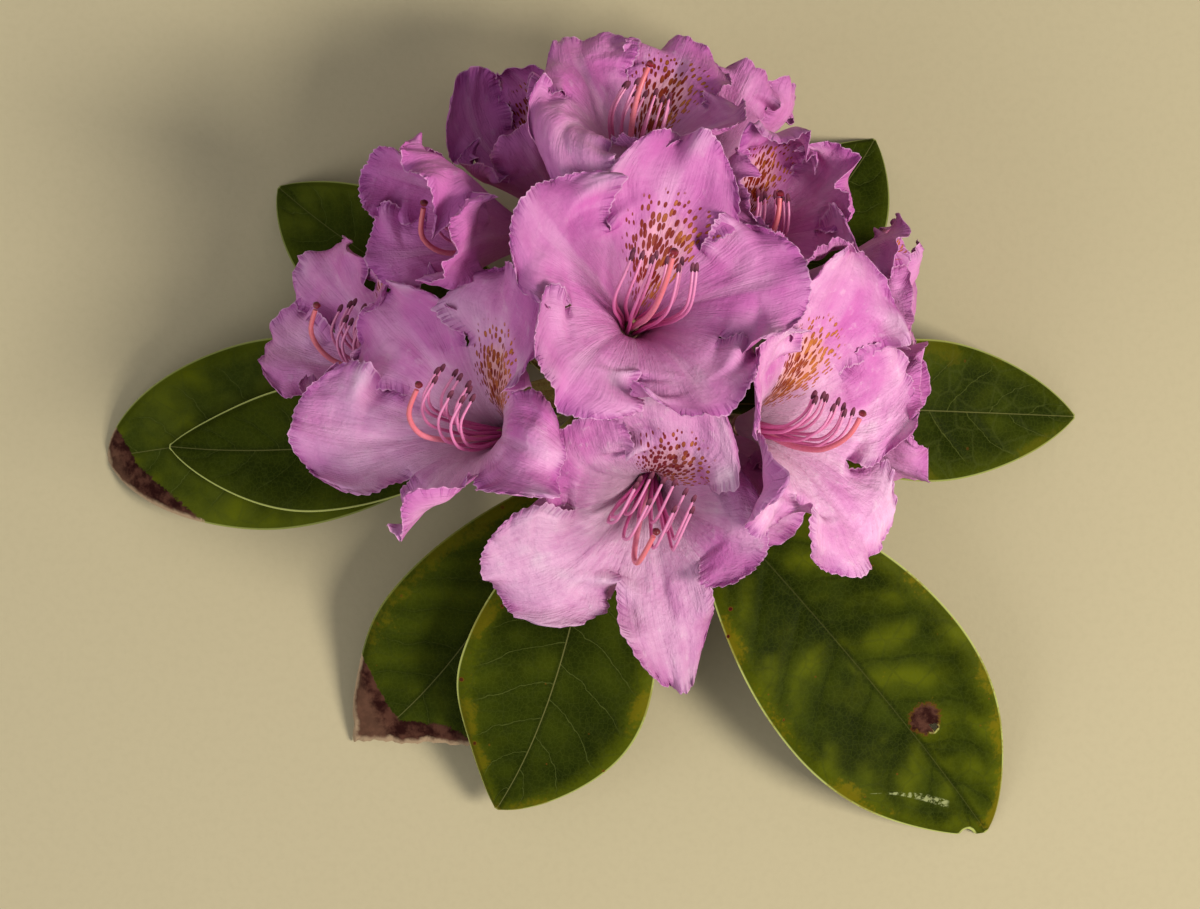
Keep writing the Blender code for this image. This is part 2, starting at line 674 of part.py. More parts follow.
def build():
    for item in list(bpy.data.objects):
        bpy.data.objects.remove(item)
    truss = bpy.data.collections.new("rhododendron_truss")
    bpy.context.scene.collection.children.link(truss)
    stem(surface("stem_bark", (0.16, 0.12, 0.05), 0.8), truss)
    truss_axis(surface("truss_axis_green", (0.24, 0.28, 0.08), 0.6), truss)
    for name, leaf in LEAVES.items():
        leaf_solid("leaf_" + name, leaf, surface("leaf_green_" + name, (0.045, 0.085, 0.015), 0.4), truss)
    for name, spec in BLOOMS.items():
        petals = surface("petal_lilac_" + name, (0.62, 0.24, 0.56), 0.55, 0.1)
        heart = surface("stamen_pink_" + name, (0.68, 0.20, 0.38), 0.5)
        corolla("corolla_" + name, spec, petals, truss)
        bloom_heart("stamens_" + name, spec, heart, truss)
        stalk("stalk_" + name, spec, surface("stalk_green_" + name, (0.30, 0.26, 0.10), 0.6), truss)


if __name__ == "__main__":
    build()
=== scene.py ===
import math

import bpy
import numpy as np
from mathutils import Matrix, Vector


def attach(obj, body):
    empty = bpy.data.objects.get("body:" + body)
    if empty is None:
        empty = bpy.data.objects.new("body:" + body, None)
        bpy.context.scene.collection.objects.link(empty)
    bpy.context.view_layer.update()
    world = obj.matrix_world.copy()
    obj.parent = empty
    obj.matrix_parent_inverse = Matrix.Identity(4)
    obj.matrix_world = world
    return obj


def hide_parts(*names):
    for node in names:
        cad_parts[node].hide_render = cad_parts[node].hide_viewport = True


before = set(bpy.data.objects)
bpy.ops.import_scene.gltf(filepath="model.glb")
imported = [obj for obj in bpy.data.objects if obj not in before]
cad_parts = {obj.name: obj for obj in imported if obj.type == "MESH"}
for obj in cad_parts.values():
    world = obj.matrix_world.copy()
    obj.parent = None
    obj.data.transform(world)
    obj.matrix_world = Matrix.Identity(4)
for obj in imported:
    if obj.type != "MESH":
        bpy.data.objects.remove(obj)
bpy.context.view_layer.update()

# The looks of a cut rhododendron (azalea) truss: frilled, veined and spotted petals, curved stamens, and
# leathery leaves with their veins, worn margins and dead patches. Everything follows the rules that the
# frame's solids were made by, at a finer step. Metres, +Z up, headings in degrees clockwise from +Y.

MM = 0.001
GAP = 0.3 * MM  # between pieces that meet
FINE = 1.0  # share of the full fineness

# ---- Corolla: a funnel that splits into five lobes at its notches. Angles are degrees from its axis.
TUBE_BASE_RADIUS = 2.5 * MM
TUBE_LENGTH = 26 * MM
TUBE_LEAN = 14  # at its base; each bloom has its own flare at its notches
LOBE_HALF_WIDTH = 17.5 * MM
LOBES = 5
LOBE_STEP = 360 / LOBES  # degrees between the lobes
LOBE_APART = 4.0  # how far apart the lobes' middles are in the place map
TIP_ROUND = 0.30  # share of its length that a lobe's corners fall back from its tip
TIP_POWER = 2.4
TIP_NARROW = 0.72  # width near the tip over the widest
CUP = 0.10
RUFFLE = 1.4 * MM
RUFFLES = 5
SPINE_STEPS = 60
MARGIN_CENTRE = 0.35  # the place up a lobe (a share) that its margin's waves go round,
MARGIN_LONG = 1.6  # and how much longer than wide their way is

# ---- What the fine petals add
PETAL_THICKNESS = 0.28 * MM
LOBE_SPREAD = 1.14  # share of the way to its neighbours that a lobe fills, over one and under the other
IMBRICATION = 0.9 * MM  # how far apart the overlapping margins are
# Waves round a margin, their height (mm) and how near it they keep
FRILLS = ((3, 1.5, 2), (5, 1.3, 2.5), (9, 0.95, 4), (15, 0.38, 6), (29, 0.13, 8), (53, 0.07, 11))
PLEATS = ((13, 0.14, 1.5), (27, 0.12, 2), (47, 0.10, 4))  # the same for pleats that fan out to it
CREASES = ((5, 2.3, 0.45), (9, -3.7, 0.30), (16, 6.1, 0.16), (7, 9.0, 0.15))  # across, along, height (mm)
FULL_LOBE = 24 * MM  # shorter lobes are less frilled
TEETH = 0.30 * MM
TIP_NOTCH = 0.035
MIDRIB_GROOVE = 0.45 * MM
MIDRIB_WIDTH = 1.3 * MM
ACROSS = 44
TUBE_ROWS = 18
LOBE_ROWS = 46
INNERMOST = 9  # mm, the distance given to all that is this far from the margin or farther
PLAIN = 0.66  # share of the fineness for the blooms under the others,
PLAIN_BELOW = 0.5  # whose stalks leave this low on the truss axis

# ---- Stamens and style: each path is given along the bloom's axis and towards its upper lobe (mm).
STAMENS = 10
STAMEN_BOW = 0.42  # how much wider the stamens bow than straight ones, as a share
STAMEN_PATH = ((0.4, 0.0), (9, -2.0), (18, -4.2), (26, -4.6), (32, -1.4), (34, 2.6))
STAMEN_SPREAD = 8 * MM  # the half-width of the oval of their ends
STAMEN_RISE = 2.2 * MM  # and its half-height
LOWER_GAP = 0.4  # rad, by which those next to the lowest point stand further from it
UPPER_SHORTER = 0.09  # share of their length by which the upper ones are shorter than the middle ones
STAMEN_RADIUS = 0.44 * MM
ANTHER_RADIUS = 0.56 * MM
ANTHER_LENGTH = 2.7 * MM
STYLE_PATH = ((0.4, 0.0), (10, -2.6), (22, -6.0), (33, -6.6), (41, -3.4), (45, 2.0))
STYLE_RADIUS = 0.72 * MM
STIGMA_RADIUS = 0.95 * MM
OVARY_RADIUS = 1.6 * MM
OVARY_HEIGHT = 5 * MM
STAMEN_ROWS = 22
ANTHER_ROWS = 11
SIDES = 8

# ---- Stem, truss axis and flower stalks
STEM_RADIUS = (4.6 * MM, 4.2 * MM)  # at the cut and at the top
STEM_TOP = 36 * MM
AXIS_RADIUS = (3.6 * MM, 1.8 * MM)
AXIS_TOP = (-1, 10, 64)  # mm
STALK_RADIUS = 1.0 * MM
CALYX_RADIUS = 2.4 * MM
CALYX_LENGTH = 2.2 * MM

# ---- Leaves
LEAF_STALK = 0.14  # share of the length
LEAF_THICKNESS = 0.55 * MM
LEAF_STALK_THICKNESS = 2.8 * MM
LEAF_STALK_WIDTH = 1.5 * MM
LEAF_TIP_WIDTH = 0.5 * MM
LEAF_WIDEST = 0.58  # share of the blade
LEAF_FOLD = 0.10
LEAF_ROWS = 130
LEAF_ACROSS = 44
LEAF_VEINS = 9  # pairs
VEIN_SWEEP = 0.15  # how far along the leaf a vein runs on its way to the margin
QUILT = 0.30  # mm, how far the blade rises between its side veins
VEIN_GROOVE = 0.16  # mm
VEIN_WIDTH = 0.9  # mm, half of it
RIB_GROOVE = 0.30  # mm above the blade's middle
RIB_RIDGE = 0.75  # mm beneath it
RIB_WIDTH = 0.9  # mm, half of it at the leaf's foot
ROLL = 0.9  # mm, how far the margin rolls down
ROLL_WIDTH = 2.2  # mm
ALIVE = -20.0  # mm from a dead place, for the leaves that have none

# ---- Papery bracts left on the truss axis: how far up it (a share), heading, length and width (mm) and
# the rise at their foot (degrees)
BRACTS = (
    (0.20, 15, 28, 9, 40), (0.28, 70, 26, 8, 30), (0.24, 125, 28, 9, 34), (0.30, 180, 26, 9, 30),
    (0.26, 235, 28, 9, 38), (0.22, 300, 29, 10, 42), (0.50, 45, 22, 7, 45), (0.46, 110, 21, 7, 40),
    (0.52, 205, 24, 8, 40), (0.58, 263, 28, 8, 34), (0.62, 292, 27, 8, 36), (0.56, 325, 24, 8, 46),
)
BRACT_THICKNESS = 0.28 * MM

# ---- The petals' shares of paleness, white and depth at the margins, the width of that margin (mm), the
# shares of painted shade in the throat, of ochre, of crepe (a crinkled relief, with painted shade in its
# hollows and painted highlights on its crests) and of dimness, and how far the spotted flare lies to one
# side: first what is usual, then what is different in some blooms
USUAL = {"pale": 0.5, "white": 0.1, "deep": 0.7, "rim": 5, "throat_shade": 0.5, "ochre": 0.4, "crepe_and_painted_light": 0.3,
         "dim": 0.0, "aside": 0.0}
SHADES = {
    "crown": {"white": 0.45, "throat_shade": 0.7, "ochre": 0.3, "crepe_and_painted_light": 0.15, "dim": 0.08, "aside": 0.25},
    "west": {"pale": 0.85, "white": 0.3, "throat_shade": 0.2, "ochre": 0.7, "aside": 0.15},
    "east": {"pale": 0.95, "white": 0.6, "deep": 0.5, "rim": 4, "throat_shade": 0.1, "ochre": 0.8, "crepe_and_painted_light": 0.6,
             "aside": -0.2},
    "south": {"pale": 1.0, "white": 0.7, "deep": 0.4, "rim": 4, "throat_shade": 0.05, "crepe_and_painted_light": 0.6,
              "dim": 0.24},
    "north": {"pale": 0.45, "throat_shade": 0.4},
    "north_west": {"pale": 0.2, "white": 0.05, "deep": 1.0, "rim": 8, "throat_shade": 0.8, "ochre": 0.5},
    "north_east": {"pale": 0.55, "white": 0.2},
    "far_east": {"pale": 0.6, "white": 0.2, "crepe_and_painted_light": 0.5},
    "far_west": {"pale": 0.55},
    "far_north_west": {"pale": 0.15, "white": 0.0, "deep": 1.0, "rim": 8, "throat_shade": 0.8},
}

# ---- The leaves' colours, and their shares of yellow patches, of yellow at the margin and along its very
# edge, of specks, of paleness in the midrib, side veins and their loops, and of a red rim round the dead
# places and tan in them: first what is common, then what is different in each leaf
COMMON = {"dark": (0.012, 0.018, 0.0012), "green": (0.028, 0.038, 0.0022), "gold": (0.105, 0.120, 0.003),
         "yellow": 0.15, "margin": 0.1, "line": 0.5, "specks": 0, "rib": 0.4, "vein": 0.3, "loops": 0.03,
         "halo": 0, "tan": 0}
# lighter greens for leaves that lie in shade: painted light
PAINTED_LIGHT_GREENS = {"dark": (0.026, 0.036, 0.003), "green": (0.062, 0.075, 0.006)}
LEAF_SHADES = {
    "north_west": {**PAINTED_LIGHT_GREENS, "rib": 0.25},
    "west_low": {**PAINTED_LIGHT_GREENS, "yellow": 0.75, "margin": 0.3, "tan": 1},
    "west": {"yellow": 0.05, "line": 0.95, "vein": 0.2},
    "south_west": {"yellow": 0.25, "margin": 0.15, "line": 0.3, "specks": 0.5, "vein": 0.15,
                   "tan": 1},
    "south": {"margin": 0.5, "line": 0.8, "specks": 0.8, "rib": 0.6, "vein": 0.42},
    "south_east": {"dark": (0.009, 0.014, 0.0008), "yellow": 0.75, "margin": 0.4, "line": 0.9,
                   "specks": 1, "rib": 0.12, "vein": 0.04, "halo": 0.45,
                   "scar": ((65.6, -103.8), (88.3, -107.8))},
    "east": {"margin": 0.2, "line": 0.6, "specks": 0.3, "rib": 0.45, "vein": 0.4,
             "loops": 0.10},
    "north_east": {"yellow": 0.1},
}

# ---- Blooms, from the top of the truss down: where the tube starts (mm), how far its axis leans from
# upright and towards which heading, and how far the upper lobe is turned clockwise. Then where its stalk
# leaves the truss axis (a share of its height), the lean of its walls at the notches, its stamens' shares
# of length, sag and turn, and each lobe's tip from the upper lobe clockwise: its turn from its own fifth,
# its distance from the bloom's axis and along it (mm), its width, and its twist.
BLOOMS = {
    "crown": {
        "base": (2, 16, 80), "tilt": 24, "heading": 32, "roll": 12, "foot": 1,
        "flare": 66, "stamens": (1.0, 1.0, 0.6),
        "lobes": ((5, 43, 27, 1.15, 0), (-1, 39, 25, 1.25, 0), (0, 34, 26, 1.35, 0),
                  (-4, 37, 23, 1.25, 20), (10, 38, 23, 1.3, 0)),
    },
    "west": {
        "base": (-28, -10, 64), "tilt": 40, "heading": -68, "roll": 36, "foot": 0.72,
        "flare": 58, "stamens": (0.85, 1.1, 2.2),
        "lobes": ((-6, 40, 28, 1.2, 0), (2, 35, 15, 0.85, 30), (10, 32, 28, 0.7, -50),
                  (11, 43, 33, 1.25, 0), (-8, 40, 29, 1.05, 0)),
    },
    "east": {
        "base": (30, -7, 64), "tilt": 46, "heading": 88, "roll": 12, "foot": 0.72,
        "flare": 58, "stamens": (0.85, 1, 1),
        "lobes": ((5, 45, 30, 1.3, 0), (-15, 36, 27, 0.9, 0), (-1, 40, 25, 1.25, 0),
                  (-8, 35, 22, 0.7, 40), (6, 30, 28, 1, 0)),
    },
    "south": {
        "base": (7, -20, 62), "tilt": 26, "heading": 186, "roll": 24, "foot": 0.8,
        "flare": 56, "stamens": (0.95, 1, 4),
        "lobes": ((-14, 40, 20, 1.15, 0), (0, 30, 23.5, 1, 20), (1, 45, 28, 0.72, 45),
                  (9, 42, 27, 1.15, 0), (13, 32, 24, 1.08, 0)),
    },
    "north": {
        "base": (2, 53, 58), "tilt": 54, "heading": 10, "roll": 36, "foot": 0.85,
        "flare": 56, "stamens": (0.78, 0.8, 0.2),
        "lobes": ((-4, 34, 25, 1.1, 0), (0, 26, 26, 0.8, 0), (4, 22, 24, 0.75, 0), (-30, 30, 12, 1.3, 0),
                  (17, 33, 22, 1.15, 0)),
    },
    "north_west": {
        "base": (-22, 40.5, 55), "tilt": 51, "heading": -87, "roll": 30, "foot": 0.62,
        "flare": 33, "stamens": (0.8, 1, 3),
        "lobes": ((7, 16.5, 46, 1, 0), (12, 25, 43, 0.9, 0), (-5, 13, 29.5, 0.8, 0), (9, 24, 34, 1, 0),
                  (-6, 23.5, 40, 1.1, 0)),
    },
    "north_east": {
        "base": (28, 38.5, 45), "tilt": 27, "heading": 49, "roll": 1, "foot": 0.55,
        "flare": 33, "stamens": (0.72, 1, 1),
        "lobes": ((5, 8, 44.5, 1, 0), (-9, 16.5, 43, 0.9, 0), (18, 17.5, 45, 0.9, 0),
                  (-7, 12, 39.5, 0.8, 0), (-22, 13, 42.5, 0.9, 0)),
    },
    "far_east": {
        "base": (41, 28, 43), "tilt": 77, "heading": 91, "roll": 31, "foot": 0.3,
        "flare": 33, "stamens": (0.6, 1, 1),
        "lobes": ((1, 19.5, 28, 1, 0), (-18, 32.5, 29, 1, 0), (9, 13.5, 32.5, 0.9, 0),
                  (4, 16.5, 36, 0.8, 0), (-6, 20.5, 33.5, 0.8, 0)),
    },
    "far_west": {
        "base": (-50, 4, 39), "tilt": 67, "heading": -60, "roll": 30, "foot": 0.3,
        "flare": 40, "stamens": (0.8, 1, 2),
        "lobes": ((-3, 24, 27, 0.9, 0), (0, 13, 24, 0.7, 0), (-7, 18.5, 28.5, 0.9, 0), (19, 33, 33, 1, 0),
                  (-8, 35, 33, 1.0, 0)),
    },
    "far_north_west": {
        "base": (-13.5, 45.5, 42), "tilt": 57, "heading": -32, "roll": -13, "foot": 0.35,
        "flare": 33, "stamens": (0.6, 1, 1),
        "lobes": ((-10, 16, 40, 1, 0), (3, 9.5, 41, 0.8, 0), (1, 8, 35, 0.8, 0), (-4, 16, 31, 1, 0),
                  (33, 20.5, 41.5, 1, 0)),
    },
    "far_north_east": {
        "base": (17.5, 52.5, 35.5), "tilt": 94, "heading": 25, "roll": 55, "foot": 0.15,
        "flare": 33, "stamens": (0.6, 1, 1),
        "lobes": ((21, 23.5, 35.5, 1, 0), (-6, 18.5, 36.5, 0.95, 0), (6, 11, 38, 0.8, 0),
                  (-1, 12.5, 35.5, 0.8, 0), (18, 15.5, 31.5, 0.8, 0)),
    },
    "low_east": {
        "base": (41, -5, 42), "tilt": 86, "heading": 88, "roll": 0, "foot": 0.12,
        "flare": 35, "stamens": (0.6, 1, 1),
        "lobes": ((12, 16, 37.5, 0.9, 0), (-8, 19.5, 39, 0.9, 0), (-13, 21, 35, 0.9, 0),
                  (-1, 18, 37, 0.8, 0), (9, 14.5, 36, 0.8, 0)),
    },
    "under_south": {
        "base": (-5.5, -11.5, 54.5), "tilt": 88, "heading": 198, "roll": 3, "foot": 0.5,
        "flare": 34, "stamens": (0.6, 0.7, 0.6),
        "lobes": ((-3, 14, 33.5, 0.8, 0), (3, 18.5, 37.5, 0.8, 0), (9, 14.5, 36, 0.8, 0),
                  (4, 19, 34.5, 0.8, 0), (5, 19, 35, 0.8, 0)),
    },
    "under_east": {
        "base": (14.5, -7, 44.5), "tilt": 73, "heading": 127, "roll": -26, "foot": 0.47,
        "flare": 36, "stamens": (0.6, 0.7, 0.6),
        "lobes": ((0, 13.5, 32.5, 0.8, 0), (-6, 14, 29, 0.8, 0), (-8, 21, 36.5, 0.8, 0),
                  (2, 14, 34.5, 0.8, 0), (-5, 25.5, 36, 0.8, 0)),
    },
}
for number, given in enumerate(BLOOMS.values()):
    given["seed"] = number

# ---- Leaves: heading and height where the stalk leaves the stem, the tip (mm), the blade's half-width
# (mm), how blunt the tip is (1 is pointed), the arch of the midrib as a share of its length, and how far
# its middle bows clockwise (mm).
LEAVES = {
    "north_west": (-58, 25, (-92, 58, 0.8), 18, 0.75, 0.10, -3),
    "west_low": (-96, 19.5, (-138, -15, 0.8), 25, 0.6, 0.10, 1),
    "west": (-98, 31.5, (-120, -12, 11), 16.5, 0.8, 0.09, -4),
    "south_west": (-142, 21, (-71, -94, 0.8), 23.5, 0.65, 0.10, -6),
    "south": (197, 33, (-33, -109, 9), 25, 0.8, 0.14, -5),
    "south_east": (139, 25, (99, -116, 0.8), 27.5, 0.7, 0.10, -2),
    "east": (92, 29, (123, -4, 0.8), 18.5, 0.8, 0.10, 0),
    "north_east": (44, 26, (69, 71, 0.8), 19, 0.8, 0.10, 4),
}


def rad(degrees):
    return degrees * math.pi / 180


def heading_vector(heading, rise=0.0):
    """The unit vector at a heading, tilted up from level by rise degrees."""
    level = math.cos(rad(rise))
    return np.array([level * math.sin(rad(heading)), level * math.cos(rad(heading)), math.sin(rad(rise))])


def unit(vectors):
    return vectors / np.linalg.norm(vectors, axis=-1, keepdims=True)


def part_way(value, low, high):
    """How far a value is from low to high, from 0 to 1."""
    return np.clip((value - low) / (high - low), 0, 1)


def bloom_frame(spec):
    """The bloom's right, upper and axis directions, with the upper lobe towards +Y before its roll."""
    axis = heading_vector(spec["heading"], 90 - spec["tilt"])
    upper = np.array([0.0, 1.0, 0.0])
    upper = unit(upper - axis * (axis @ upper))
    right = np.cross(upper, axis)
    turn = rad(spec["roll"])
    return (
        right * math.cos(turn) - upper * math.sin(turn),
        upper * math.cos(turn) + right * math.sin(turn),
        axis,
    )


def lobe_lean(notch, bend, out):
    """A lobe's lean from the axis, from its notches to its tip."""
    return np.radians(notch + (bend - notch) * out**1.2)


def climb(leans, long, radius, height):
    """Radius and height along a line of these leans and this length, from where it starts."""
    step = long / (SPINE_STEPS - 1)
    return (
        radius + step * (np.cumsum(np.sin(leans)) - np.sin(leans[0])),
        height + step * (np.cumsum(np.cos(leans)) - np.cos(leans[0])),
    )


def lobe_spine(spec, index):
    """Arc length, radius, height and lean of a lobe's middle line, from the tube's base to its tip."""
    _, reach, rise, _, _ = spec["lobes"][index]
    tube = np.linspace(0, 1, SPINE_STEPS)
    notch = spec["flare"]
    lean = np.radians(TUBE_LEAN + (notch - TUBE_LEAN) * tube)
    radius, height = climb(lean, TUBE_LENGTH, TUBE_BASE_RADIUS, 0)
    bends = np.arange(-60, 200, 2.0)
    leans = lobe_lean(notch, bends[:, None], tube[None, :])
    across, along = np.sin(leans).mean(1), np.cos(leans).mean(1)
    to_tip = reach * MM - radius[-1], rise * MM - height[-1]
    bend = np.interp(math.atan2(*to_tip), np.unwrap(np.arctan2(across, along)), bends)
    out = lobe_lean(notch, bend, tube)
    length = math.hypot(*to_tip) / math.hypot(np.sin(out).mean(), np.cos(out).mean())
    far, high = climb(out, length, radius[-1], height[-1])
    arc = np.concatenate([TUBE_LENGTH * tube, TUBE_LENGTH + length * tube[1:]])
    return (
        arc,
        np.concatenate([radius, far[1:]]),
        np.concatenate([height, high[1:]]),
        np.concatenate([lean, out[1:]]),
        length,
    )


def petal(spec, index, v, c):
    """Points of one lobe and its fifth of the tube, how far each is from the margin and from the tube's
    base, and how far it is raised by the frills (mm). v runs from 0 to 1 up the tube and on to 2 at the
    lobe's tip, and c from -1 to 1 across it."""
    _, _, _, broad, twist = spec["lobes"][index]
    seed = spec["seed"] * 1.7 + index * 2.1
    arc, radius, height, lean, length = lobe_spine(spec, index)
    out = np.clip(v - 1, 0, 1)
    teeth = TEETH / length * np.sin(70 * c + seed) * out**10
    notch = TIP_NOTCH * np.exp(-((c / 0.12) ** 2)) * out**4
    s = TUBE_LENGTH * np.clip(v, 0, 1) + length * out * (
        1 - TIP_ROUND * np.abs(c) ** TIP_POWER - notch + teeth
    )
    far = np.interp(s, arc, radius)
    high = np.interp(s, arc, height)
    leant = np.interp(s, arc, lean)
    middle = rad(LOBE_STEP * index)
    turns = (spec["lobes"][number % LOBES][0] for number in (index - 1, index, index + 1))
    before, turn, after = map(rad, turns)
    swung = out**1.3
    half = rad(LOBE_STEP / 2)
    limit = half + np.where(c > 0, after - turn, turn - before) / 2 * swung
    notch_width = half * np.interp(TUBE_LENGTH, arc, radius)
    widening = np.sin(part_way(out, 0, 0.5) * math.pi / 2)
    wide = notch_width + (LOBE_HALF_WIDTH * broad - notch_width) * widening
    wide = wide * (1 - (1 - TIP_NARROW) * part_way(out, 0.45, 1) ** 1.5)
    free = part_way(out, 0, 0.15)
    lapped = part_way(out, 0, 0.5) ** 1.5
    room = limit * far * (1 - (1 - LOBE_SPREAD) * lapped)
    wide = np.where(v <= 1, half * far, np.minimum(wide, room))
    wide = wide * (1 + TEETH / LOBE_HALF_WIDTH * np.sin(60 * out + seed) * c**8 * free)
    turned = rad(twist) * out**1.3
    side = c * wide * np.cos(turned)
    lift = c * wide * np.sin(turned) + CUP * wide * c**2 * out
    about = np.arctan2(c, (out - MARGIN_CENTRE) * MARGIN_LONG)
    reach = np.clip(np.hypot(c, (out - MARGIN_CENTRE) * MARGIN_LONG), 0, 1.1)
    margin = reach**3 * part_way(out, 0, 0.3)
    plain = lift + IMBRICATION * c**3 * lapped
    lift = plain + RUFFLE * margin * np.sin(RUFFLES * about + seed)
    grown = min(length / FULL_LOBE, 1)
    raised = (lift - plain) / MM
    for waves, high_by, near in FRILLS:
        bent = waves * about + 1.3 * np.sin(3 * about + seed) + seed * waves
        frill = grown * high_by * reach**near * free * np.sin(bent)
        lift = lift + frill * MM
        raised = raised + (frill if waves < 10 else 0)
    for waves, high_by, near in PLEATS:
        lift = lift + grown * high_by * MM * reach**near * free * np.sin(waves * c + seed * waves)
    for across_by, along_by, high_by in CREASES:
        bent = across_by * c + along_by * (v + 0.25 * np.sin(2.1 * c + seed)) + seed * across_by
        lift = lift + grown * high_by * MM * part_way(v, 0.8, 1.3) * np.sin(bent)
    groove = np.exp(-((c * wide / MIDRIB_WIDTH) ** 2)) * part_way(v, 0, 0.6) * (1 - out**2)
    lift = lift - MIDRIB_GROOVE * groove
    far = far - lift * np.cos(leant)
    high = high + lift * np.sin(leant)
    angle = middle + turn * swung + side / np.maximum(far, TUBE_BASE_RADIUS)
    points = place_points(spec, np.stack([far * np.sin(angle), far * np.cos(angle), high], -1))
    edge = np.minimum(wide * (1 - np.abs(c)), length * (1 - out)) / MM
    return points, np.where(v <= 1, INNERMOST, np.minimum(edge, INNERMOST)), s / MM, raised


def stamen_path(spec, number):
    """One stamen's points, from the ovary to the anther's end."""
    reach, sag, curl = spec["stamens"]
    turn = 2 * math.pi * (number + 0.5) / STAMENS
    turn -= LOWER_GAP * math.sin(turn)
    long = (1 - UPPER_SHORTER * math.cos(turn) - 0.04 * (number % 2)) * reach
    path = []
    for along, up in STAMEN_PATH:
        share = along / STAMEN_PATH[-1][0]
        opened = reach * share**1.2 * (1.33 - 0.33 * share**3)
        across = OVARY_RADIUS * (1 - share) + STAMEN_SPREAD * opened
        across *= 1 + STAMEN_BOW * math.sin(math.pi * share)
        above = OVARY_RADIUS * (1 - share) + STAMEN_RISE * opened
        middle = up * (sag if up < 0 else curl) * MM + STAMEN_RISE * opened
        path.append((-across * math.sin(turn), middle + above * math.cos(turn), along * long * MM))
    return place_points(spec, path)


def style_path(spec):
    reach, sag, curl = spec["stamens"]
    path = []
    for along, up in STYLE_PATH:
        path.append((0, up * (sag if up < 0 else curl) * MM, along * reach * MM))
    return place_points(spec, path)


def place_points(spec, points):
    """Points of a bloom, given from its base by its right, upper and axis directions, in their place."""
    return np.array(points) @ np.array(bloom_frame(spec)) + np.array(spec["base"]) * MM


def smooth_path(points, steps):
    """A smooth line through the points, as evenly spaced points."""
    points = np.asarray(points)
    knots = np.concatenate([[0], np.cumsum(np.linalg.norm(np.diff(points, axis=0), axis=1))])
    slopes = np.gradient(points, knots, axis=0)
    at = np.linspace(0, knots[-1], steps + 1)
    cell = np.clip(np.searchsorted(knots, at, "right") - 1, 0, len(knots) - 2)
    span = (knots[cell + 1] - knots[cell])[:, None]
    t = ((at - knots[cell])[:, None]) / span
    return (
        points[cell] * (1 + 2 * t) * (1 - t) ** 2
        + slopes[cell] * span * t * (1 - t) ** 2
        + points[cell + 1] * t**2 * (3 - 2 * t)
        + slopes[cell + 1] * span * t**2 * (t - 1)
    )


def leaf_spine(leaf, t):
    """The midrib's points: out of the stem, over its arch and down to the tip."""
    heading, rise, tip, _, _, arch, bow = leaf
    start = heading_vector(heading) * (STEM_RADIUS[0] + GAP + 0.5 * MM)
    start[2] = rise * MM
    end = np.array(tip) * MM
    way = end - start
    long = np.linalg.norm(way)
    aside = np.array([way[1], -way[0], 0]) / long * bow * MM
    first = start + heading_vector(heading, 12) * long * 0.33 + aside * 0.6
    second = end - way * 0.33 + np.array([0, 0, arch * long]) + aside * 2
    return bezier(t, start, first, second, end)


def bezier(t, start, first, second, end):
    """Points of a curve that leaves its start towards first and comes to its end from second."""
    t = t[..., None]
    return (1 - t) ** 3 * start + 3 * t * (1 - t) ** 2 * first + 3 * t**2 * (1 - t) * second + t**3 * end


def leaf_length(leaf):
    """A leaf's length along its midrib (mm)."""
    line = leaf_spine(leaf, np.linspace(0, 1, 60))
    return float(np.linalg.norm(np.diff(line, axis=0), axis=1).sum() / MM)


def leaf_half_width(leaf, t):
    """Half the blade's width, or the stalk's, along the midrib."""
    blunt = leaf[4]
    blade = part_way(t, LEAF_STALK, 1)
    low = np.sin(part_way(blade, 0, LEAF_WIDEST) * math.pi / 2) ** 0.9
    high = np.sin(part_way(blade, 1, LEAF_WIDEST) * math.pi / 2) ** blunt
    least = np.where(t < 0.5, LEAF_STALK_WIDTH, LEAF_TIP_WIDTH)
    return np.maximum(leaf[3] * MM * np.minimum(low, high), least)


def leaf_surface(leaf, t, c):
    """Points of a leaf's middle surface. t runs from the stem to the tip and c from -1 to 1 across."""
    middle = leaf_spine(leaf, t)
    ahead = leaf_spine(leaf, np.minimum(t + 0.01, 1)) - leaf_spine(leaf, np.minimum(t, 0.99))
    ahead = unit(ahead)
    side = unit(np.cross(ahead, [0, 0, 1.0]))
    up = np.cross(side, ahead)
    wide = leaf_half_width(leaf, t)
    blade = part_way(t, LEAF_STALK, LEAF_STALK + 0.2)
    wave = 0.04 * np.sin(t * 17 + leaf[0]) * np.abs(c) ** 2
    rise = wide * blade * (LEAF_FOLD * np.abs(c) ** 1.5 + wave)
    return middle + side * (wide * c)[..., None] + up * rise[..., None]


def leaf_half_thickness(t, c):
    """Half a leaf's thickness: a rounded stalk that flattens into the blade."""
    stalk = LEAF_STALK_THICKNESS / 2 * np.sqrt(1 - 0.98 * c**2)
    blade = LEAF_THICKNESS / 2 * (1 - 0.5 * c**6)
    flat = smooth(t, LEAF_STALK * 0.7, LEAF_STALK * 1.5)
    return stalk + (blade - stalk) * flat


def smooth(value, low, high):
    share = part_way(value, low, high)
    return share * share * (3 - 2 * share)


def vein_away(t, c, long):
    """How far each point of a leaf is from its nearest side vein (mm)."""
    blade = (t - LEAF_STALK) / (1 - LEAF_STALK)
    turn = (blade - VEIN_SWEEP * np.abs(c) ** 1.2) * LEAF_VEINS + np.where(c > 0, 0.25, 0.75)
    return np.abs(turn - np.floor(turn) - 0.5) * long * (1 - LEAF_STALK) / LEAF_VEINS


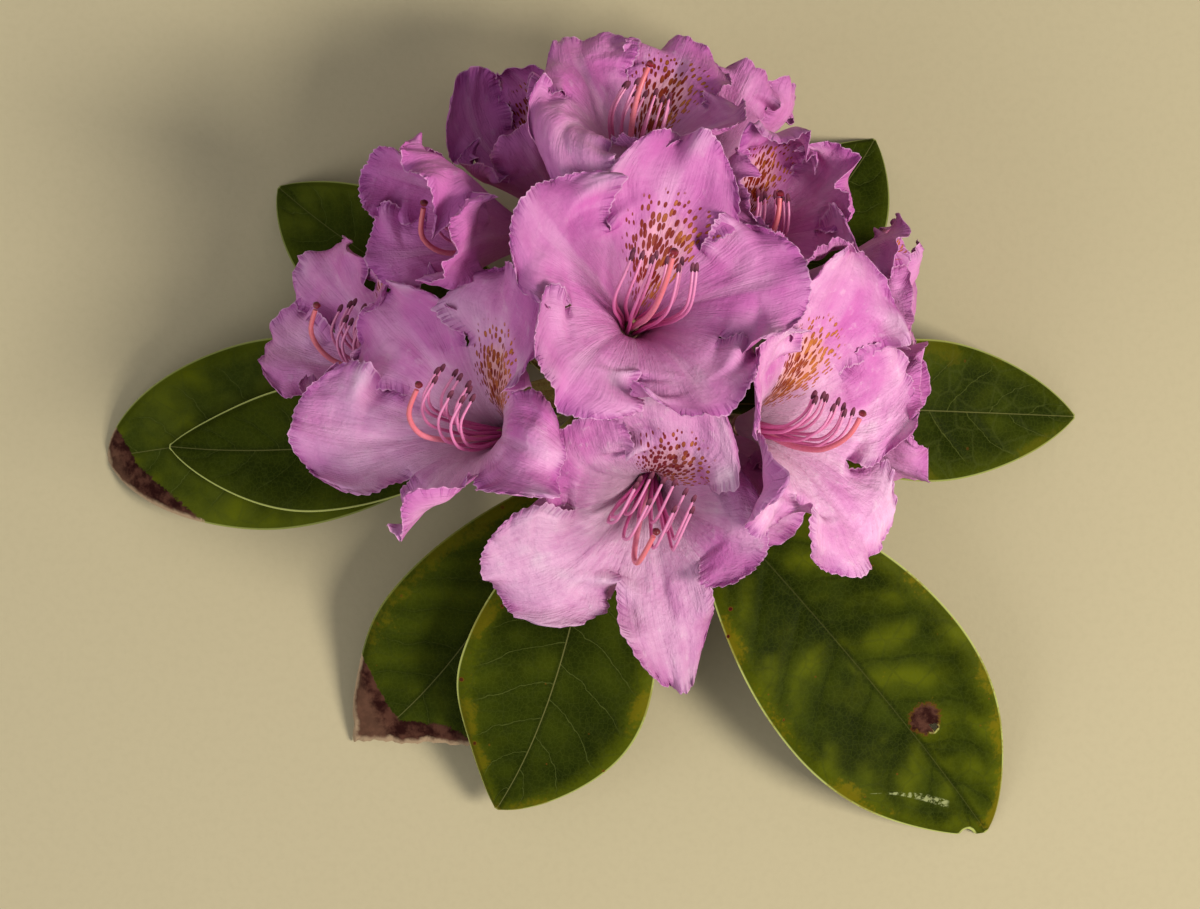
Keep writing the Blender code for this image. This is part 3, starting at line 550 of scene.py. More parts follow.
# ---- Meshes
class Pile:
    """The parts of one piece, gathered before they become its mesh."""

    def __init__(self):
        self.points, self.marks, self.faces, self.count = [], [], [], 0

    def add(self, points, faces, marks=None, look=0, maps=None):
        """Add a part: marks are values at its points, and maps are values at its faces' corners."""
        points = np.asarray(points, float).reshape(-1, 3)
        self.points.append(points)
        self.marks.append(marks or {})
        for number, part in enumerate(faces):
            flat = {name: uv[number] for name, uv in (maps or {}).items()}
            self.faces.append((np.asarray(part) + self.count, look, flat))
        self.count += len(points)

    def add_tube(self, line, radii, sides, lobed=None, look=0, start=0):
        """Add a closed tube, marked with how far along it each point is."""
        points, faces, share = tube(line, radii, sides, lobed)
        self.add(points, faces, {"share": share + start}, look)

    def make(self, name, looks, node, sharp=50):
        """Make the object, which rides on the frame and stands for its CAD node."""
        mesh = bpy.data.meshes.new(name)
        sizes = np.concatenate([np.full(len(part), part.shape[1]) for part, _, _ in self.faces])
        corners = np.concatenate([part.ravel() for part, _, _ in self.faces])
        mesh.vertices.add(self.count)
        mesh.vertices.foreach_set("co", np.concatenate(self.points).ravel())
        mesh.loops.add(len(corners))
        mesh.loops.foreach_set("vertex_index", corners.astype(np.int32))
        mesh.polygons.add(len(sizes))
        mesh.polygons.foreach_set("loop_start", (np.cumsum(sizes) - sizes).astype(np.int32))
        which = np.concatenate([np.full(len(part), look) for part, look, _ in self.faces])
        mesh.polygons.foreach_set("material_index", which.astype(np.int32))
        mesh.polygons.foreach_set("use_smooth", np.ones(len(sizes), bool))
        for label in sorted({key for _, _, flat in self.faces for key in flat}):
            layer = mesh.uv_layers.new(name=label)
            values = np.concatenate([flat[label].reshape(-1, 2) for _, _, flat in self.faces])
            layer.uv.foreach_set("vector", values.ravel().astype(np.float32))
        for label in sorted({key for marks in self.marks for key in marks}):
            layer = mesh.attributes.new(label, "FLOAT", "POINT")
            layer.data.foreach_set("value", np.concatenate([marks[label] for marks in self.marks]))
        mesh.update(calc_edges=True)
        mesh.set_sharp_from_angle(angle=rad(sharp))
        for look in looks:
            mesh.materials.append(look)
        item = bpy.data.objects.new(name, mesh)
        bpy.context.scene.collection.objects.link(item)
        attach(item, "root")
        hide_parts(node)


def grid_faces(ids):
    """The four-cornered faces of a grid of points, given by their numbers."""
    return np.stack([ids[:-1, :-1], ids[:-1, 1:], ids[1:, 1:], ids[1:, :-1]], -1).reshape(-1, 4)


def normals(points, quads):
    corner = points[quads]
    facing = np.cross(corner[:, 2] - corner[:, 0], corner[:, 3] - corner[:, 1])
    total = np.zeros_like(points)
    for number in range(4):
        np.add.at(total, quads[:, number], facing)
    return total / np.maximum(np.linalg.norm(total, axis=1), 1e-12)[:, None]


RIM_ROOM = 0.004  # the rim's width in the bake map


def add_sheet(pile, points, quads, above, below, marks, maps, look=0):
    """Add a sheet with two sides and a rim. The bake map has the upper side in its lower half, the lower
    side in its upper half, and the rim beside them."""
    facing = normals(points, quads)
    count = len(points)
    both = np.concatenate([points + facing * above[:, None], points - facing * below[:, None]])
    starts = quads.ravel()
    ends = quads[:, [1, 2, 3, 0]].ravel()
    key = np.minimum(starts, ends) * count + np.maximum(starts, ends)
    _, back, times = np.unique(key, return_inverse=True, return_counts=True)
    rim = np.flatnonzero(times[back] == 1)
    a, b = starts[rim], ends[rim]
    face, corner = rim // 4, rim % 4
    turned = [3, 2, 1, 0]
    placed = {}
    for label, uv in maps.items():
        at_a, at_b = uv[face, corner], uv[face, (corner + 1) % 4]
        out_a, out_b = at_a, at_b
        if label == "OFBake":
            away = (at_b - at_a)[:, [1, 0]] * [1, -1]
            away /= np.maximum(np.linalg.norm(away, axis=1), 1e-9)[:, None]
            centre = uv[face].mean(1)
            away *= np.sign(((at_a - centre) * away).sum(1))[:, None]
            out_a, out_b = at_a + away * RIM_ROOM, at_b + away * RIM_ROOM
        rims = np.stack([at_b, at_a, out_a, out_b], 1)
        placed[label] = [uv, uv[:, turned] + ([0, 0.5] if label == "OFBake" else [0, 0]), rims]
    faces = [quads, (quads + count)[:, turned], np.stack([b, a, a + count, b + count], 1)]
    sides = {label: np.concatenate([value, value]) for label, value in marks.items()}
    sides["inner"] = np.repeat([1.0, 0.0], count)
    pile.add(both, faces, sides, look, placed)


def tube(points, radii, sides, lobed=None):
    """A closed tube along the points: its points, its faces, and how far along each point is."""
    points = np.asarray(points, float)
    ahead = unit(np.gradient(points, axis=0))
    side = np.cross(ahead[0], [0.3, 0.2, 1.0])
    turn = np.arange(sides) * 2 * math.pi / sides
    rings = []
    for number, (point, way, radius) in enumerate(zip(points, ahead, radii)):
        side = unit(side - way * (side @ way))
        other = np.cross(way, side)
        long = radius * (lobed(number / (len(points) - 1), turn) if lobed else np.ones(sides))
        ring = np.outer(np.cos(turn), side) + np.outer(np.sin(turn), other)
        rings.append(point + ring * long[:, None])
    ids = np.arange(len(points) * sides).reshape(len(points), sides)
    quads = grid_faces(np.concatenate([ids, ids[:, :1]], 1))
    ends = np.stack([ids[0][::-1], ids[-1]])
    share = np.repeat(np.linspace(0, 1, len(points)), sides)
    return np.concatenate(rings), [quads, ends], share


def petal_stops(spec):
    fine = FINE * (PLAIN if spec["foot"] < PLAIN_BELOW else 1)
    even = np.linspace(-1, 1, 2 * round(ACROSS * fine / 2) + 1)
    across = 0.6 * even + 0.4 * np.sin(even * math.pi / 2)
    tube_rows = np.linspace(0, 1, round(TUBE_ROWS * fine) + 1)
    out = np.linspace(0, 1, round(LOBE_ROWS * fine) + 1)[1:]
    return across, tube_rows, 1 + 0.7 * out + 0.3 * np.sin(out * math.pi / 2)


def corolla(name, spec, look):
    """A funnel of five petals: one ring of points up to the notches, and five free sheets above them."""
    across, low, high = petal_stops(spec)
    columns = len(across) - 1
    ring = LOBES * columns
    rows = np.concatenate([low, high])
    points = np.zeros((len(low) * ring + LOBES * len(high) * (columns + 1), 3))
    marks = {label: np.zeros(len(points)) for label in ("edge", "along", "about", "raised")}
    quads, place, bake = [], [], []
    for index in range(LOBES):
        v, c = np.meshgrid(rows, across, indexing="ij")
        ids = np.zeros(v.shape, int)
        around = (index * columns + np.arange(columns + 1)) % ring
        ids[: len(low)] = np.arange(len(low))[:, None] * ring + around
        first = len(low) * ring + index * len(high) * (columns + 1)
        ids[len(low) :] = first + np.arange(len(high) * (columns + 1)).reshape(len(high), columns + 1)
        spots, edge, along, raised = petal(spec, index, v, c)
        points[ids] = spots
        marks["edge"][ids] = edge
        marks["along"][ids] = along
        # how far the frills raise each point, from which the petals' painted shade and highlights are
        # drawn
        marks["raised"][ids] = raised
        marks["about"][ids] = np.arctan2(c, (v - 1 - MARGIN_CENTRE) * MARGIN_LONG)
        part = grid_faces(ids)
        numbers = grid_faces(np.arange(v.size).reshape(v.shape))
        uv = np.stack([c + LOBE_APART * index, v], -1).reshape(-1, 2)[numbers]
        baked = (index + 0.03 + 0.94 * (c + 1) / 2) / LOBES
        flat = np.stack([baked, 0.01 + v / 2 * 0.48], -1).reshape(-1, 2)
        quads.append(part)
        place.append(uv)
        bake.append(flat[numbers])
    pile = Pile()
    half = PETAL_THICKNESS / 2 * (0.35 + 0.65 * smooth(marks["edge"], 0, 1.5))
    maps = {"place": np.concatenate(place), "OFBake": np.concatenate(bake)}
    add_sheet(pile, points, np.concatenate(quads), half, half, marks, maps)
    pile.make(name + "_petals", [look], name, 70)


def anther(pile, path, look):
    """Two pollen sacs side by side across the end of a stamen."""
    ahead = unit(path[-1] - path[-2])
    stops = np.linspace(-1, 1, ANTHER_ROWS)
    line = path[-1] + ahead * (ANTHER_LENGTH * 0.5) * (stops[:, None] * 0.96 - 0.1)
    radii = ANTHER_RADIUS * np.sqrt(1 - np.abs(stops) ** 2.6 * 0.985) * (1 - 0.12 * stops)
    pile.add_tube(line, radii, SIDES + 2, lambda _, turn: 0.82 + 0.24 * np.cos(2 * turn), look)


FILAMENT, ANTHER, STYLE, OVARY, STIGMA = range(5)  # the places of a heart's looks


def bloom_heart(name, spec, looks):
    """The ovary, the stamens round it and the style from its top."""
    _, _, axis = bloom_frame(spec)
    base = np.array(spec["base"]) * MM
    pile = Pile()
    rises = np.linspace(0, 1, 8)
    swell = OVARY_RADIUS * np.sin(math.pi * (0.25 + 0.62 * rises)) ** 0.8
    line = base + axis * (rises * OVARY_HEIGHT)[:, None]
    pile.add_tube(line, swell, 20, lambda _, turn: 1 + 0.09 * np.cos(5 * turn), OVARY)
    for number in range(STAMENS):
        path = smooth_path(stamen_path(spec, number), STAMEN_ROWS)
        share = np.linspace(0, 1, len(path))
        pile.add_tube(path, STAMEN_RADIUS * (1.25 - 0.5 * share), SIDES, None, FILAMENT)
        anther(pile, path, ANTHER)
    path = smooth_path(style_path(spec), STAMEN_ROWS + 4)
    share = np.linspace(0, 1, len(path))
    pile.add_tube(path[:-1], STYLE_RADIUS * (1.15 - 0.3 * share[:-1]), SIDES + 2, None, STYLE)
    ahead = unit(path[-1] - path[-2])
    stops = np.linspace(0, 1, 9)
    knob = path[-1] + ahead * (stops[:, None] * 1.5 - 1.0) * MM
    radii = STIGMA_RADIUS * np.sqrt(np.clip(1.02 - (stops * 1.75 - 0.75) ** 2 * 0.98, 0.12, 1))
    pile.add_tube(knob, radii, 15, lambda _, turn: 1 + 0.10 * np.cos(5 * turn), STIGMA)
    pile.make(name + "_heart", looks, name)


def axis_point(share):
    """A point up the truss axis and its radius there."""
    low = np.array([0, 0, STEM_TOP + GAP])
    high = np.array(AXIS_TOP) * MM
    bowed = np.array([share**2, share**2, share])
    return low + (high - low) * bowed, AXIS_RADIUS[0] + (AXIS_RADIUS[1] - AXIS_RADIUS[0]) * share


def axis_foot(spec, top):
    """Where a flower stalk leaves the truss axis, and which way."""
    middle, radius = axis_point(spec["foot"])
    if spec["foot"] == 1:
        ahead = unit(middle - axis_point(0.98)[0])
        return middle + ahead * 2 * GAP, ahead
    level = unit((top - middle) * [1, 1, 0])
    return middle + level * (radius + 4 * GAP), unit(level + [0, 0, 0.3])


def stalk(name, spec, look):
    """A downy flower stalk from the truss axis to a small toothed calyx under its funnel."""
    _, _, axis = bloom_frame(spec)
    base = np.array(spec["base"]) * MM
    top = base - axis * (CALYX_LENGTH + 2.2 * GAP)
    foot, out = axis_foot(spec, top)
    reach = np.linalg.norm(top - foot)
    share = np.linspace(0, 1, round(30 * FINE) + 6)
    points = bezier(share, foot, foot + out * reach * 0.4, top - axis * reach * 0.35, top)
    radii = STALK_RADIUS * (1 + 0.35 * np.exp(-share * 12) + 0.2 * share**6)
    pile = Pile()
    pile.add_tube(points, radii, 14, lambda at, turn: 1 + 0.05 * np.sin(5 * turn + 9 * at))
    rise = np.linspace(0, 1, 9)
    cup = top + axis * ((rise * (CALYX_LENGTH + 1.2 * GAP)) - 0.3 * MM)[:, None]
    wide = STALK_RADIUS + (CALYX_RADIUS - STALK_RADIUS) * np.sin(rise * math.pi / 2) ** 0.8
    wide[-1] *= 0.86
    pile.add_tube(cup, wide, 30, lambda at, turn: 1 + 0.13 * at * np.cos(5 * turn), start=1)
    pile.make(name + "_down", [look], name)


def stem(look):
    """The woody cut stem: ridged bark with leaf scars, a little swollen under the leaves."""
    rows, sides = round(70 * FINE) + 8, 48
    rises = np.linspace(0, 1, rows)
    low, high = STEM_RADIUS
    stops = np.array([0, 0.25, 0.55, 0.8, 1.0])
    radii = np.interp(rises, stops, [low, low * 0.96, low * 0.94, high * 1.08, high * 0.9])

    def bark(at, turn):
        ridge = 0.022 * np.sin(11 * turn + 3 * np.sin(at * 9)) + 0.014 * np.sin(23 * turn - 7 * at)
        ring = 0.02 * np.sin(at * 47 + 2 * np.sin(turn * 2))
        scar = 0.07 * np.exp(-(((at - 0.62) / 0.05) ** 2) - ((np.sin(turn / 2) / 0.25) ** 2))
        return 0.97 + ridge + ring + scar

    pile = Pile()
    points, faces, share = tube(rises[:, None] * np.array([0, 0, STEM_TOP]), radii, sides, bark)
    points[:, 2] = np.clip(points[:, 2], 0, None)
    pile.add(points, faces, {"share": share})
    pile.make("stem_bark_piece", [look], "stem", 40)


def truss_axis(look, papery):
    """The short green axis of the truss, with low wavy swellings, and its bracts."""
    rows = round(50 * FINE) + 6
    spots, radii = zip(*(axis_point(share) for share in np.linspace(0, 1, rows)))

    def swollen(at, turn):
        return 1 + 0.05 * np.sin(6 * turn + 20 * at) + 0.04 * np.sin(at * 30 + 2 * turn)

    pile = Pile()
    points, faces, share = tube(spots, radii, 30, swollen)
    pile.add(points, faces, {"share": share, "inner": share * 0})
    for number, sizes in enumerate(BRACTS):
        bract(pile, number, *sizes)
    pile.make("truss_axis_piece", [look, papery], "truss_axis")


def bract(pile, number, height, heading, long, wide, rise):
    """A papery bract from the truss axis: its share up the axis, heading, length, width (mm) and rise."""
    middle, radius = axis_point(height)
    out, up = heading_vector(heading), np.array([0, 0, 1.0])
    side = np.cross(out, up)
    t, c = np.meshgrid(np.linspace(0, 1, 25), np.linspace(-1, 1, 15), indexing="ij")
    breadth = wide / 2 * MM * np.sin(np.clip(0.12 + t * 0.88, 0, 1) * math.pi) ** 0.6
    bend = rad(rise) * (1 - 0.8 * t) + 0.08 * np.sin(9 * t + number)
    cupped = 0.30 * breadth * c**2 + 0.25 * MM * np.sin(14 * c * t + number)
    far = radius * 0.9 + long * MM * t * np.cos(bend)
    high = long * MM * t * np.sin(bend) + cupped
    points = middle + out * far[..., None] + up * high[..., None] + side * (c * breadth)[..., None]
    quads = grid_faces(np.arange(t.size).reshape(t.shape))
    thin = np.full(t.size, BRACT_THICKNESS / 2)
    marks = {"share": (t * 1.0).ravel()}
    add_sheet(pile, points.reshape(-1, 3), quads, thin, thin, marks, {}, look=1)


def trimmed(points, quads, keep):
    """Cut away what keep calls negative (mm), with the points at the cut moved onto its line."""
    left = keep(points)
    quads_kept = quads[(left[quads] > 0).any(1)]
    step = 0.2 * MM
    for _ in range(2):
        left = keep(points)
        slope = np.stack([keep(points + [step, 0, 0]) - left, keep(points + [0, step, 0]) - left], -1)
        slope /= np.maximum((slope**2).sum(-1), 1e-4)[:, None] ** 0.5
        move = np.where(left < 0, -left, 0)[:, None] * slope * MM
        points = points + np.concatenate([np.where(np.abs(move) < 3 * MM, move, 0), move[:, :1] * 0], 1)
    return points, quads_kept


def leaf_piece(name, worn, look):
    """A leaf with a rounded stalk, a sunken midrib, quilted side veins and its worn places."""
    spec = LEAVES[name]
    rows, columns = round(LEAF_ROWS * FINE), 2 * round(LEAF_ACROSS * FINE / 2)
    even = np.linspace(-1, 1, columns + 1)
    t, c = np.meshgrid(np.linspace(0, 1, rows + 1), 0.75 * even + 0.25 * np.sin(even * math.pi / 2),
                       indexing="ij")
    points = leaf_surface(spec, t, c).reshape(-1, 3)
    long = leaf_length(spec)
    wide = leaf_half_width(spec, t) / MM
    edge = np.minimum(wide * (1 - np.abs(c)), (1 - t) * long)
    blade = smooth(t, LEAF_STALK, LEAF_STALK * 2)
    veins = np.exp(-((vein_away(t, c, long) / VEIN_WIDTH) ** 2)) * smooth(np.abs(c) * wide, 0, 2)
    veins = veins * (1 - np.abs(c) ** 3)
    bulge = (QUILT * (1 - veins) - VEIN_GROOVE * veins) * blade * smooth(edge, 0.5, 5)
    rib = np.exp(-((c * wide / (RIB_WIDTH - 0.5 * t)) ** 2)) * blade * (1 - t) ** 0.4
    rolled = ROLL * smooth(-edge, -ROLL_WIDTH, 0) * blade
    quads = grid_faces(np.arange(t.size).reshape(t.shape))
    facing = normals(points, quads)
    facing *= np.sign(facing[:, 2].sum())
    half = leaf_half_thickness(t, c)
    points = points + facing * (bulge - rolled).reshape(-1, 1) * MM
    place = np.stack([c, t], -1).reshape(-1, 2)
    if "keep" in worn:
        points, quads = trimmed(points, quads, worn["keep"])
        edge = np.minimum(edge, np.abs(worn["keep"](points)).reshape(edge.shape))
    dead = worn["dead"](points) if "dead" in worn else np.full(len(points), ALIVE)
    marks = {"edge": edge.ravel(), "dead": dead, "wide": wide.ravel()}
    above = (half - RIB_GROOVE * rib * MM).ravel()
    below = (half + RIB_RIDGE * rib * MM).ravel()
    pile = Pile()
    flat = np.stack([0.02 + 0.96 * (c + 1) / 2, 0.01 + 0.47 * t], -1).reshape(-1, 2)
    if normals(points, quads)[:, 2].sum() < 0:
        quads = quads[:, ::-1]
    maps = {"place": place[quads], "OFBake": flat[quads]}
    add_sheet(pile, points, quads, above, below, marks, maps)
    pile.make("leaf_" + name + "_blade", [look], "leaf_" + name, 60)


# ---- Materials: values in the nodes are written as sums
def join(tree, value, socket):
    if isinstance(value, Wire):
        tree.links.new(value.socket, socket)
    else:
        socket.default_value = value


def new_node(tree, kind, inputs=(), **settings):
    """Add a node with its settings, and values or wires for its inputs by their names or numbers."""
    node = tree.nodes.new(kind)
    for key, value in settings.items():
        setattr(node, key, value)
    for key, value in dict(inputs).items():
        join(tree, value, node.inputs[key])
    return node


class Wire:
    """A value in a material's nodes, which can be added to, multiplied and so on."""

    def __init__(self, tree, socket):
        self.tree, self.socket = tree, socket

    def math(self, operation, *others):
        node = new_node(self.tree, "ShaderNodeMath", enumerate((self, *others)), operation=operation)
        return Wire(self.tree, node.outputs[0])

    def __add__(self, other):
        return self.math("ADD", other)

    def __sub__(self, other):
        return self.math("SUBTRACT", other)

    def __mul__(self, other):
        return self.math("MULTIPLY", other)

    def __pow__(self, other):
        return self.math("POWER", other)

    def __rsub__(self, other):
        return self.math("MULTIPLY_ADD", -1.0, other)

    __radd__ = __add__
    __rmul__ = __mul__

    def abs(self):
        return self.math("ABSOLUTE")

    def step(self, low, high):
        """0 at low and beyond it, 1 at high and beyond it, smoothly (high may be the lower one)."""
        ends = {"Value": self, "From Min": low, "From Max": high}
        node = new_node(self.tree, "ShaderNodeMapRange", ends, interpolation_type="SMOOTHSTEP")
        return Wire(self.tree, node.outputs["Result"])


class Paint:
    """A material being written."""

    def __init__(self, name):
        self.look = bpy.data.materials.new(name)
        self.look.use_nodes = True
        self.tree = self.look.node_tree
        self.shader = self.tree.nodes["Principled BSDF"]

    def wires(self, kind, inputs=(), **settings):
        """Add a node and give its outputs by their names."""
        node = new_node(self.tree, kind, inputs, **settings)
        return {socket.name: Wire(self.tree, socket) for socket in node.outputs if socket.enabled}

    def mark(self, name):
        return self.wires("ShaderNodeAttribute", attribute_name=name)["Fac"]

    def split(self, vector):
        return list(self.wires("ShaderNodeSeparateXYZ", {0: vector}).values())

    def place(self):
        return self.split(self.wires("ShaderNodeUVMap", uv_map="place")["UV"])[:2]

    def spot(self):
        """Where a point is, in mm."""
        return [value * 1000.0 for value in self.split(self.wires("ShaderNodeTexCoord")["Object"])]

    def vector(self, x, y, z):
        return self.wires("ShaderNodeCombineXYZ", enumerate((x, y, z)))["Vector"]

    def noise(self, x, y, z, scale=1.0, detail=3.0, rough=0.55):
        inputs = {"Vector": self.vector(x, y, z), "Scale": scale, "Detail": detail, "Roughness": rough}
        return self.wires("ShaderNodeTexNoise", inputs)["Fac"]

    def scatter(self, x, y, z, scale, **settings):
        inputs = {"Vector": self.vector(x, y, z), "Scale": scale, "Randomness": 0.85}
        return self.wires("ShaderNodeTexVoronoi", inputs, **settings)

    def cells(self, x, y, z, scale=1.0, **settings):
        """How far the nearest spot of a scatter is, and that spot's own random value."""
        found = self.scatter(x, y, z, scale, **settings)
        return found["Distance"], self.split(found["Color"])[0]

    def net(self, x, y, z, scale):
        """How far the nearest line of a net is."""
        return self.scatter(x, y, z, scale, feature="DISTANCE_TO_EDGE")["Distance"]

    def mix(self, share, low, high):
        low, high = ((*value, 1) if isinstance(value, tuple) else value for value in (low, high))
        return self.wires("ShaderNodeMix", {0: share, 6: low, 7: high}, data_type="RGBA")["Result"]

    def start(self, share, low, high):
        self.color = self.mix(share, low, high)

    def coat(self, share, color):
        """Lay a share of another colour over what is there."""
        self.color = self.mix(share, self.color, color)

    def finish(self, rough, height, bump, depth, specular=0.5, sheen=0.0):
        """Join up the shader, with a bump of this strength and depth (mm)."""
        inputs = {"Height": height, "Strength": bump, "Distance": depth * MM}
        normal = self.wires("ShaderNodeBump", inputs)["Normal"]
        for name, value in (("Base Color", self.color), ("Roughness", rough), ("Normal", normal),
                            ("Specular IOR Level", specular), ("Sheen Weight", sheen)):
            join(self.tree, value, self.shader.inputs[name])
        return self.look


LILAC = (0.61, 0.150, 0.455)
PALE = (0.83, 0.46, 0.69)
WHITISH = (0.88, 0.69, 0.79)
DEEP = (0.38, 0.070, 0.29)
VIOLET = (0.46, 0.095, 0.38)
# the colour of the painted shade deep in a bloom's throat
THROAT_SHADE = (0.30, 0.035, 0.13)


def petal_look(name, spec):
    """Lilac petals: paler in the lower lobes, deep at the ticked margins, spotted in the upper lobe, with
    painted shade in the throat and in the hollows of the frills and crinkles, and painted highlights on
    their crests.
    """
    shade = {**USUAL, **SHADES.get(name, {})}
    paint = Paint("petal_" + name)
    seed = spec["seed"] * 3.7
    u, v = paint.place()
    lobe = (u * (1 / LOBE_APART)).math("ROUND")
    c = u - lobe * LOBE_APART
    edge, along, about, raised, inner = (
        paint.mark(label) for label in ("edge", "along", "about", "raised", "inner")
    )
    wander = paint.noise(u * 0.8, v * 0.9, seed, 1.4, 3)
    fibre = paint.noise(u * 11.0, along * 0.05, seed, 1.0, 4, 0.65)
    fine = paint.noise(u * 42.0, along * 0.10, seed + 5, 1.0, 2)
    crinkle = paint.noise(u * 6.0, along * 0.33, seed + 2, 1.0, 4, 0.62)
    streak = fibre.step(0.30, 0.72)
    lower = (lobe - 2.5).abs().step(1.7, 0.4)
    light = (wander.step(0.32, 0.70) * 0.8 + lower * 0.35) * shade["pale"]
    paint.start(light.math("MINIMUM", 1.0), LILAC, PALE)
    paint.coat(wander.step(0.62, 0.80) * shade["white"], WHITISH)
    paint.coat(streak * 0.30 * (1 - edge.step(0, 2)), DEEP)
    paint.coat(streak * 0.16 + fine.step(0.45, 0.75) * 0.10, DEEP)
    # painted shade in the hollows of the crinkles and painted highlights on their crests, from the
    # crinkle bump
    paint.coat(crinkle.step(0.52, 0.30) * (0.10 + 0.18 * shade["crepe_and_painted_light"]), DEEP)
    paint.coat(crinkle.step(0.56, 0.74) * (0.04 + 0.46 * shade["crepe_and_painted_light"]), WHITISH)
    # painted shade in the hollows of the frills and painted highlights on their crests, from how far each
    # point is raised
    face = raised * (inner * 2.0 - 1.0) + (fibre - 0.5) * 1.2
    paint.coat(face.step(-0.2, -2.8) * 0.45, DEEP)
    paint.coat(face.step(0.2, 3.2) * (0.15 + 0.30 * shade["pale"]), WHITISH)
    band = edge + (fibre - 0.5) * 3.0
    ticks = paint.noise(about * 21.0, edge * 0.10, seed + 9, 1.0, 1).step(0.50, 0.58)
    paint.coat(band.step(shade["rim"], 0.2) * shade["deep"] * 0.6, VIOLET)
    paint.coat(ticks * edge.step(3.8, 0.6) * (0.25 + 0.45 * shade["deep"]), (0.34, 0.050, 0.27))
    paint.coat(edge.step(0.42, 0.12) * 0.6, PALE)
    paint.coat((c * c).step(0.02, 0.0) * v.step(0.3, 1.0) * v.step(1.9, 1.3) * 0.3, PALE)
    heart = along + (fibre - 0.5) * 9.0
    paint.coat(heart.step(30.0, 12.0) * max(0.0, 0.55 - 0.75 * shade["throat_shade"]), WHITISH)
    # painted shade deep in the funnel's throat
    paint.coat(heart.step(13.0, 2.0) * shade["throat_shade"], THROAT_SHADE)
    # the spotted flare of the upper lobe
    upper = lobe.abs().step(0.6, 0.4) * inner
    away = ((along - 19.0) * (1 / 12.5)) ** 2.0 + ((c - shade["aside"]) * (1 / 0.80)) ** 2.0
    ground = (away + (fibre - 0.5) * 0.5).step(1.1, 0.35) * upper
    warm = tuple(a + (b - a) * shade["ochre"] for a, b in zip((0.86, 0.46, 0.52), (0.80, 0.42, 0.20)))
    paint.coat(ground * (0.40 + 0.30 * shade["ochre"]), warm)
    strewn = c * 10.0 + (fibre - 0.5) * 0.5
    round_by, own = paint.cells(strewn, along * 0.35 + seed, 0.0, voronoi_dimensions="2D")
    size = (0.55 - away * 0.19 + along.step(26.0, 12.0) * 0.06) * (0.76 + own * 0.40)
    inside = (size - round_by).step(0.0, 0.08) * away.step(2.1, 1.7) * upper
    golden = (own * 0.7 + c * 0.6 + away * 0.22 + shade["ochre"]).step(0.85, 1.5)
    gold = paint.mix((size - round_by).step(0.03, 0.20), (0.34, 0.060, 0.018), (0.55, 0.17, 0.035))
    spots = paint.mix(golden, (0.22, 0.016, 0.004), gold)
    paint.coat(inside, spots)
    # a duller outer side, and the whole bloom's tone
    paint.coat((1 - inner) * 0.35, (0.58, 0.16, 0.42))
    paint.coat(shade["dim"], (0.10, 0.01, 0.06))
    folds = paint.noise(u * 15.0, along * 0.8, seed + 7, 1.0, 3, 0.6)
    grain = fibre * 0.55 + fine * 0.30 + ticks * edge.step(3.5, 0.5) * 0.35
    grain = grain + crinkle * (0.5 + 1.2 * shade["crepe_and_painted_light"]) + folds * (0.2 + 0.5 * shade["crepe_and_painted_light"])
    rough = 0.42 + streak * 0.12
    return paint.finish(rough, grain, 0.9, 0.60, specular=0.2)


def tube_look(name, low, high, rough, specular=0.5):
    """A stamen's part, from one colour at its foot to another at its end, with fine darker mottles."""
    paint = Paint(name)
    share = paint.mark("share")
    x, y, z = paint.spot()
    mottled = paint.noise(x, y, z, 1.6, 3)
    paint.start((share + (mottled - 0.5) * 0.6).step(0.0, 1.0), low, high)
    paint.coat(mottled.step(0.55, 0.75) * 0.25, tuple(value * 0.5 for value in low))
    return paint.finish(mottled * 0.2 + rough, mottled, 0.25, 0.12, specular)


def bark_look():
    paint = Paint("stem_bark")
    x, y, z = paint.spot()
    fibre = paint.noise(x * 1.6, y * 1.6, z * 0.28, 1.0, 5, 0.7)
    patch = paint.noise(x, y, z, 0.22, 2)
    paint.start(fibre.step(0.3, 0.72), (0.075, 0.045, 0.022), (0.30, 0.22, 0.12))
    paint.coat(patch.step(0.50, 0.66) * z.step(14.0, 34.0), (0.15, 0.17, 0.05))
    pith = (x * x + y * y).math("SQRT")
    cut = z.step(0.08, 0.02)
    rings = (pith * 2.6 + fibre * 1.2).math("SINE").step(-0.4, 0.9)
    wood = paint.mix(rings, (0.44, 0.33, 0.17), (0.62, 0.50, 0.28))
    wood = paint.mix(pith.step(1.0, 0.7), wood, (0.28, 0.19, 0.09))
    paint.coat(cut, wood)
    return paint.finish(0.75, fibre, 0.8, 0.5)


def green_look(name, low, high, tip):
    """A downy green stalk, reddish towards its end."""
    paint = Paint(name)
    share = paint.mark("share")
    x, y, z = paint.spot()
    fibre = paint.noise(x * 2.2, y * 2.2, z * 0.6, 1.0, 4, 0.7)
    down = paint.noise(x, y, z, 5.0, 2)
    paint.start(fibre.step(0.3, 0.7), low, high)
    paint.coat((share + (fibre - 0.5) * 0.7).step(0.5, 1.4) * 0.7, tip)
    paint.coat(down.step(0.60, 0.72) * 0.25, (0.55, 0.50, 0.32))
    return paint.finish(0.62, fibre * 0.5 + down * 0.5, 0.6, 0.25, sheen=0.2)


